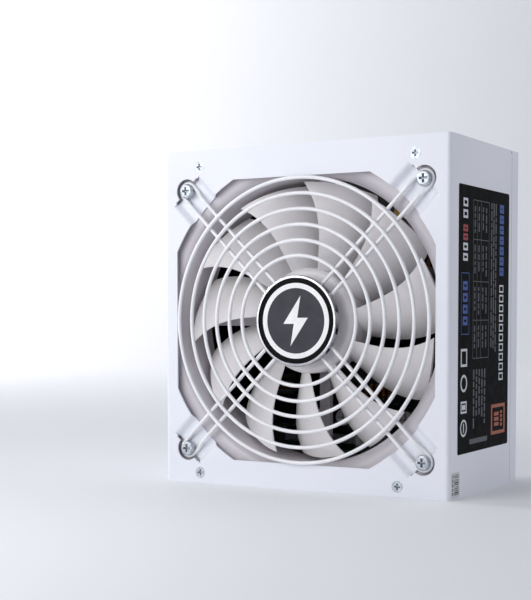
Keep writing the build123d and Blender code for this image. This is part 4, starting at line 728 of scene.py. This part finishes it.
class PSU_OT_small_parts(bpy.types.Operator):
    """Stand resistors, disc capacitors, chips and screws on the main board"""
    bl_idname = "psu.small_parts"
    bl_label = "Small board parts"

    def execute(self, context):
        low, _ = node_box("main_board")
        face = low.y
        thin = LEG_HALF_WIDTH
        bodies, bands, discs, chips, legs, screws = (bmesh.new() for _ in range(6))
        # quarter-watt resistors lie in two rows, each with four colour bands
        for row_x, row_z in RESISTOR_ROWS:
            for number in range(RESISTORS_IN_ROW):
                x = row_x + RESISTOR_PITCH * number
                add_turned(bodies, (x, face - RESISTOR_LIFT, row_z), TOP, RESISTOR_OUTLINE, steps=20)
                for place in BAND_PLACES:
                    size = 1.17 if abs(place) > 2 else 0.97
                    inner, half = size - 0.3, BAND_HALF_WIDTH
                    add_turned(bands, (x, face - RESISTOR_LIFT, row_z + place), TOP,
                               [(inner, -half), (size, -half), (size, half), (inner, half)], steps=20)
                for end in (-3.6, 3.6):
                    add_bar(legs, (x - thin, face - 1.65, row_z + end - 0.6),
                            (x + thin, face + 0.2, row_z + end))
        # ceramic discs on edge
        for x, z in DISC_PLACES:
            add_turned(discs, (x, face - DISC_LIFT, z), RIGHT, DISC_OUTLINE, steps=24)
            for step in (-1.6, 1.6):
                add_bar(legs, (x - thin, face - 2.4, z + step - thin),
                        (x + thin, face + 0.2, z + step + thin))
        # control chips, flat on the board
        for x, z, wide, tall in CHIPS:
            add_bar(chips, (x - wide / 2, face - 2.2, z - tall / 2), (x + wide / 2, face - 0.4, z + tall / 2),
                    soft=0.25)
            count = int(tall / CHIP_LEG_PITCH) - 1
            for number in range(count):
                at = z + (number - (count - 1) / 2) * CHIP_LEG_PITCH
                for side in (-1, 1):
                    x0 = x + side * wide / 2
                    x1 = x0 + side * CHIP_LEG_REACH
                    add_bar(legs, (min(x0, x1), face - 1.4, at - 0.2), (max(x0, x1), face + 0.1, at + 0.2))
        # the screw that clamps each transistor to its heatsink
        for node in ("primary_transistors", "secondary_transistors"):
            out = 1 if node.startswith("primary") else -1
            for box_low, box_high in solid_boxes(node):
                if box_high.z - box_low.z > 6.0 and box_high.x - box_low.x > 2.0:
                    center = (box_low + box_high) / 2
                    edge = box_high.x if out > 0 else box_low.x
                    add_turned(screws, (edge, box_low.y + 4.0, center.z), RIGHT * out, SCREW_OUTLINE,
                               steps=24)
        for shape, name, finish, slot in (
                (bodies, "resistor_bodies", "dipped_tan_epoxy", "core_yellow"),
                (bands, "resistor_bands", "red_ink", "copper"),
                (discs, "ceramic_discs", "dipped_blue_epoxy", "capacitor_blue"),
                (chips, "control_chips", "moulded_black_epoxy", "chip_black"),
                (legs, "small_part_legs", "tinned_copper", "tin"),
                (screws, "transistor_screws", "bright_zinc_plate", "zinc_screw")):
            keep_piece(name, shape, finish, "unit")
        return {"FINISHED"}


# silicone dabs: places in X and Z, radius and lift off the board in mm, and stretch of each axis
DAB_PLACES = ((10.5, 98.0), (41.5, 76.0), (-12.2, 29.5), (22.3, 29.5), (-22.0, 127.0))
DAB_RADIUS = 1.6
DAB_LIFT = 0.4
DAB_SHAPE = (1.0, 0.8, 1.3, 1.0)


class PSU_OT_silicone(bpy.types.Operator):
    """Put the dabs of white silicone that steady the tall parts"""
    bl_idname = "psu.silicone"
    bl_label = "Silicone dabs"

    def execute(self, context):
        low, _ = node_box("main_board")
        shape = bmesh.new()
        for x, z in DAB_PLACES:
            where = Matrix.Translation(Vector((x, low.y - DAB_LIFT, z)) * MM) @ Matrix.Diagonal(DAB_SHAPE)
            bmesh.ops.create_icosphere(shape, subdivisions=3, radius=DAB_RADIUS * MM, matrix=where)
        keep_piece("silicone_dabs", shape, "white_silicone", "unit", sharp=180)
        return {"FINISHED"}


class PSU_OT_socket_keys(bpy.types.Operator):
    """Add the latch catch along the top edge of each output socket"""
    bl_idname = "psu.socket_keys"
    bl_label = "Socket latches"

    def execute(self, context):
        shape = bmesh.new()
        for node in ("socket_24_pin", "sockets_8_pin", "sockets_6_pin"):
            for low, high in solid_boxes(node):
                middle = (low.x + high.x) / 2
                half = 2.2
                add_bar(shape, (middle - half, high.y - 0.05, low.z + 3.2),
                        (middle + half, high.y + 0.9, low.z + 5.2), soft=0.25)
        keep_piece("socket_latches", shape, "moulded_white_nylon", "unit")
        return {"FINISHED"}


class PSU_OT_rocker_marks(bpy.types.Operator):
    """Print the bar and the ring on the two sloping halves of the switch's rocker"""
    bl_idname = "psu.rocker_marks"
    bl_label = "Switch marks"

    def execute(self, context):
        marks = context.scene.psu_marks
        # the rocker rests with its left end down: its two faces rise from the crown by the same angle
        tipped = Matrix.Translation(PIVOT * MM) @ Matrix.Rotation(-marks.tilt, 4, "Y")
        half_wide, half_long, inner, outer, sunk = 0.4, 1.9, 1.3, 2.0, -0.02
        shape = bmesh.new()
        for side in (-1, 1):
            crown = Matrix.Translation(Vector((0.0, 0.0, marks.crown * MM)))
            face = crown @ Matrix.Rotation(-side * marks.tilt, 4, "Y")
            before = set(shape.verts)
            if side < 0:
                add_bar(shape, (-marks.reach - half_wide, -half_long, sunk),
                        (-marks.reach + half_wide, half_long, marks.ink))
            else:
                add_turned(shape, (marks.reach, 0.0, 0.0), TOP,
                           [(inner, sunk), (outer, sunk), (outer, marks.ink), (inner, marks.ink)])
            fresh = [vert for vert in shape.verts if vert not in before]
            bmesh.ops.transform(shape, matrix=tipped @ face, verts=fresh)
        keep_piece("rocker_marks", shape, "white_ink", "rocker")
        return {"FINISHED"}


# stage: the sweep's sizes in metres, and each light's place, aim, power setting and size
SWEEP_WHITE = "#ECEDF0"
SWEEP_HALF_WIDTH = 4.0
SWEEP_FRONT = -3.0
SWEEP_BACK = 1.6
SWEEP_CURVE = 1.0
SWEEP_RISE = 2.5
LIGHTS = (("key_light", (-0.36, -0.26, 0.24), (0.0, 0.0, 0.08), "key_power", 0.4),
          ("side_light", (1.0, 0.1, 0.5), (0.0, 0.0, 0.08), "side_power", 0.8),
          ("backdrop_light", (-1.7, 0.9, 1.0), (-0.5, 2.4, 0.6), "back_power", 0.8))
CAMERA_SHIFT = (-0.0426, 0.1316)


class PSU_OT_stage(bpy.types.Operator):
    """Set out the floor, the backdrop, the lights and the camera"""
    bl_idname = "psu.stage"
    bl_label = "Stage"

    def execute(self, context):
        stage = context.scene.psu_stage
        facing = Matrix.Rotation(stage.turn, 4, "Z")
        # a floor that curves up into a backdrop square to the camera
        shape = bmesh.new()
        bmesh.ops.create_grid(shape, x_segments=1, y_segments=1, size=1.0)
        for vert in shape.verts:
            vert.co.x *= SWEEP_HALF_WIDTH
            vert.co.y = SWEEP_BACK if vert.co.y > 0 else SWEEP_FRONT
        far = [edge for edge in shape.edges if all(vert.co.y > 1.0 for vert in edge.verts)]
        curved = bmesh.ops.spin(shape, geom=far + [vert for edge in far for vert in edge.verts],
                                cent=(0.0, SWEEP_BACK, SWEEP_CURVE), axis=(1.0, 0.0, 0.0),
                                angle=math.radians(90), steps=16)
        last = [item for item in curved["geom_last"] if isinstance(item, bmesh.types.BMEdge)]
        wall = bmesh.ops.extrude_edge_only(shape, edges=last)["geom"]
        bmesh.ops.translate(shape, vec=(0.0, 0.0, SWEEP_RISE),
                            verts=[item for item in wall if isinstance(item, bmesh.types.BMVert)])
        bmesh.ops.rotate(shape, cent=(0.0, 0.0, 0.0), matrix=facing, verts=shape.verts)
        bmesh.ops.recalc_face_normals(shape, faces=shape.faces)
        # an even matte white; the panel can give it another colour
        made, _, shader, _ = start_material("matte_paper_sweep", SWEEP_WHITE, 0.7)
        shader.inputs["Base Color"].default_value = (*stage.floor_color, 1.0)
        mesh = bpy.data.meshes.new("sweep")
        shape.to_mesh(mesh)
        shape.free()
        mesh.materials.append(made)
        mesh.shade_smooth()
        sweep = bpy.data.objects.new("sweep", mesh)
        context.scene.collection.objects.link(sweep)
        for name, place, aim, power, size in LIGHTS:
            self.light(name, place, aim, getattr(stage, power), size, facing)
        world = bpy.data.worlds.new("soft_light")
        world.use_nodes = True
        sky = world.node_tree.nodes["Background"]
        sky.inputs["Color"].default_value = srgb("#EEF0FA")
        sky.inputs["Strength"].default_value = stage.sky
        context.scene.world = world
        context.scene.view_settings.view_transform = "Standard"
        data = bpy.data.cameras.new("camera")
        data.lens = stage.lens
        data.shift_x, data.shift_y = CAMERA_SHIFT
        data.clip_start = 0.01
        camera = bpy.data.objects.new("camera", data)
        level = math.cos(stage.tilt)
        aim = Vector((-math.sin(stage.turn) * level, math.cos(stage.turn) * level, -math.sin(stage.tilt)))
        camera.location = stage.place
        camera.rotation_euler = aim.to_track_quat("-Z", "Y").to_euler()
        context.scene.collection.objects.link(camera)
        context.scene.camera = camera
        return {"FINISHED"}

    def light(self, name, place, aim, power, size, facing):
        """An area light, placed and aimed in metres as seen from the camera's side."""
        data = bpy.data.lights.new(name, "AREA")
        data.energy = power
        data.size = size
        lamp = bpy.data.objects.new(name, data)
        place, aim = facing @ Vector(place), facing @ Vector(aim)
        lamp.location = place
        lamp.rotation_euler = (aim - place).to_track_quat("-Z", "Y").to_euler()
        lamp.visible_camera = False
        bpy.context.scene.collection.objects.link(lamp)


OPERATORS = (PSU_OT_finishes, PSU_OT_spec_label, PSU_OT_serial_label, PSU_OT_badge, PSU_OT_guard_welds,
             PSU_OT_seam_shade, PSU_OT_capacitor_tops, PSU_OT_small_parts, PSU_OT_silicone,
             PSU_OT_socket_keys, PSU_OT_rocker_marks, PSU_OT_stage)
SETTINGS = {"psu_case": PSU_PG_case, "psu_label": PSU_PG_label, "psu_guard": PSU_PG_guard,
            "psu_board": PSU_PG_board, "psu_marks": PSU_PG_marks, "psu_stage": PSU_PG_stage}


class PSU_PT_panel(bpy.types.Panel):
    """Lists the steps that dress the power supply"""
    bl_idname = "PSU_PT_panel"
    bl_label = "Power Supply"
    bl_space_type = "VIEW_3D"
    bl_region_type = "UI"
    bl_category = "Power Supply"

    def draw(self, context):
        for operator in OPERATORS:
            self.layout.operator(operator.bl_idname)
        for name, group in SETTINGS.items():
            box = self.layout.box()
            for key in group.__annotations__:
                box.prop(getattr(context.scene, name), key)


def register():
    for group in SETTINGS.values():
        bpy.utils.register_class(group)
    for cls in OPERATORS + (PSU_PT_panel,):
        bpy.utils.register_class(cls)
    for name, group in SETTINGS.items():
        setattr(bpy.types.Scene, name, bpy.props.PointerProperty(type=group))


def unregister():
    for name in SETTINGS:
        delattr(bpy.types.Scene, name)
    for cls in (PSU_PT_panel,) + OPERATORS[::-1] + tuple(SETTINGS.values()):
        bpy.utils.unregister_class(cls)


def main():
    register()
    for operator in OPERATORS:
        area, step = operator.bl_idname.split(".")
        getattr(getattr(bpy.ops, area), step)()


if __name__ == "__main__":
    main()
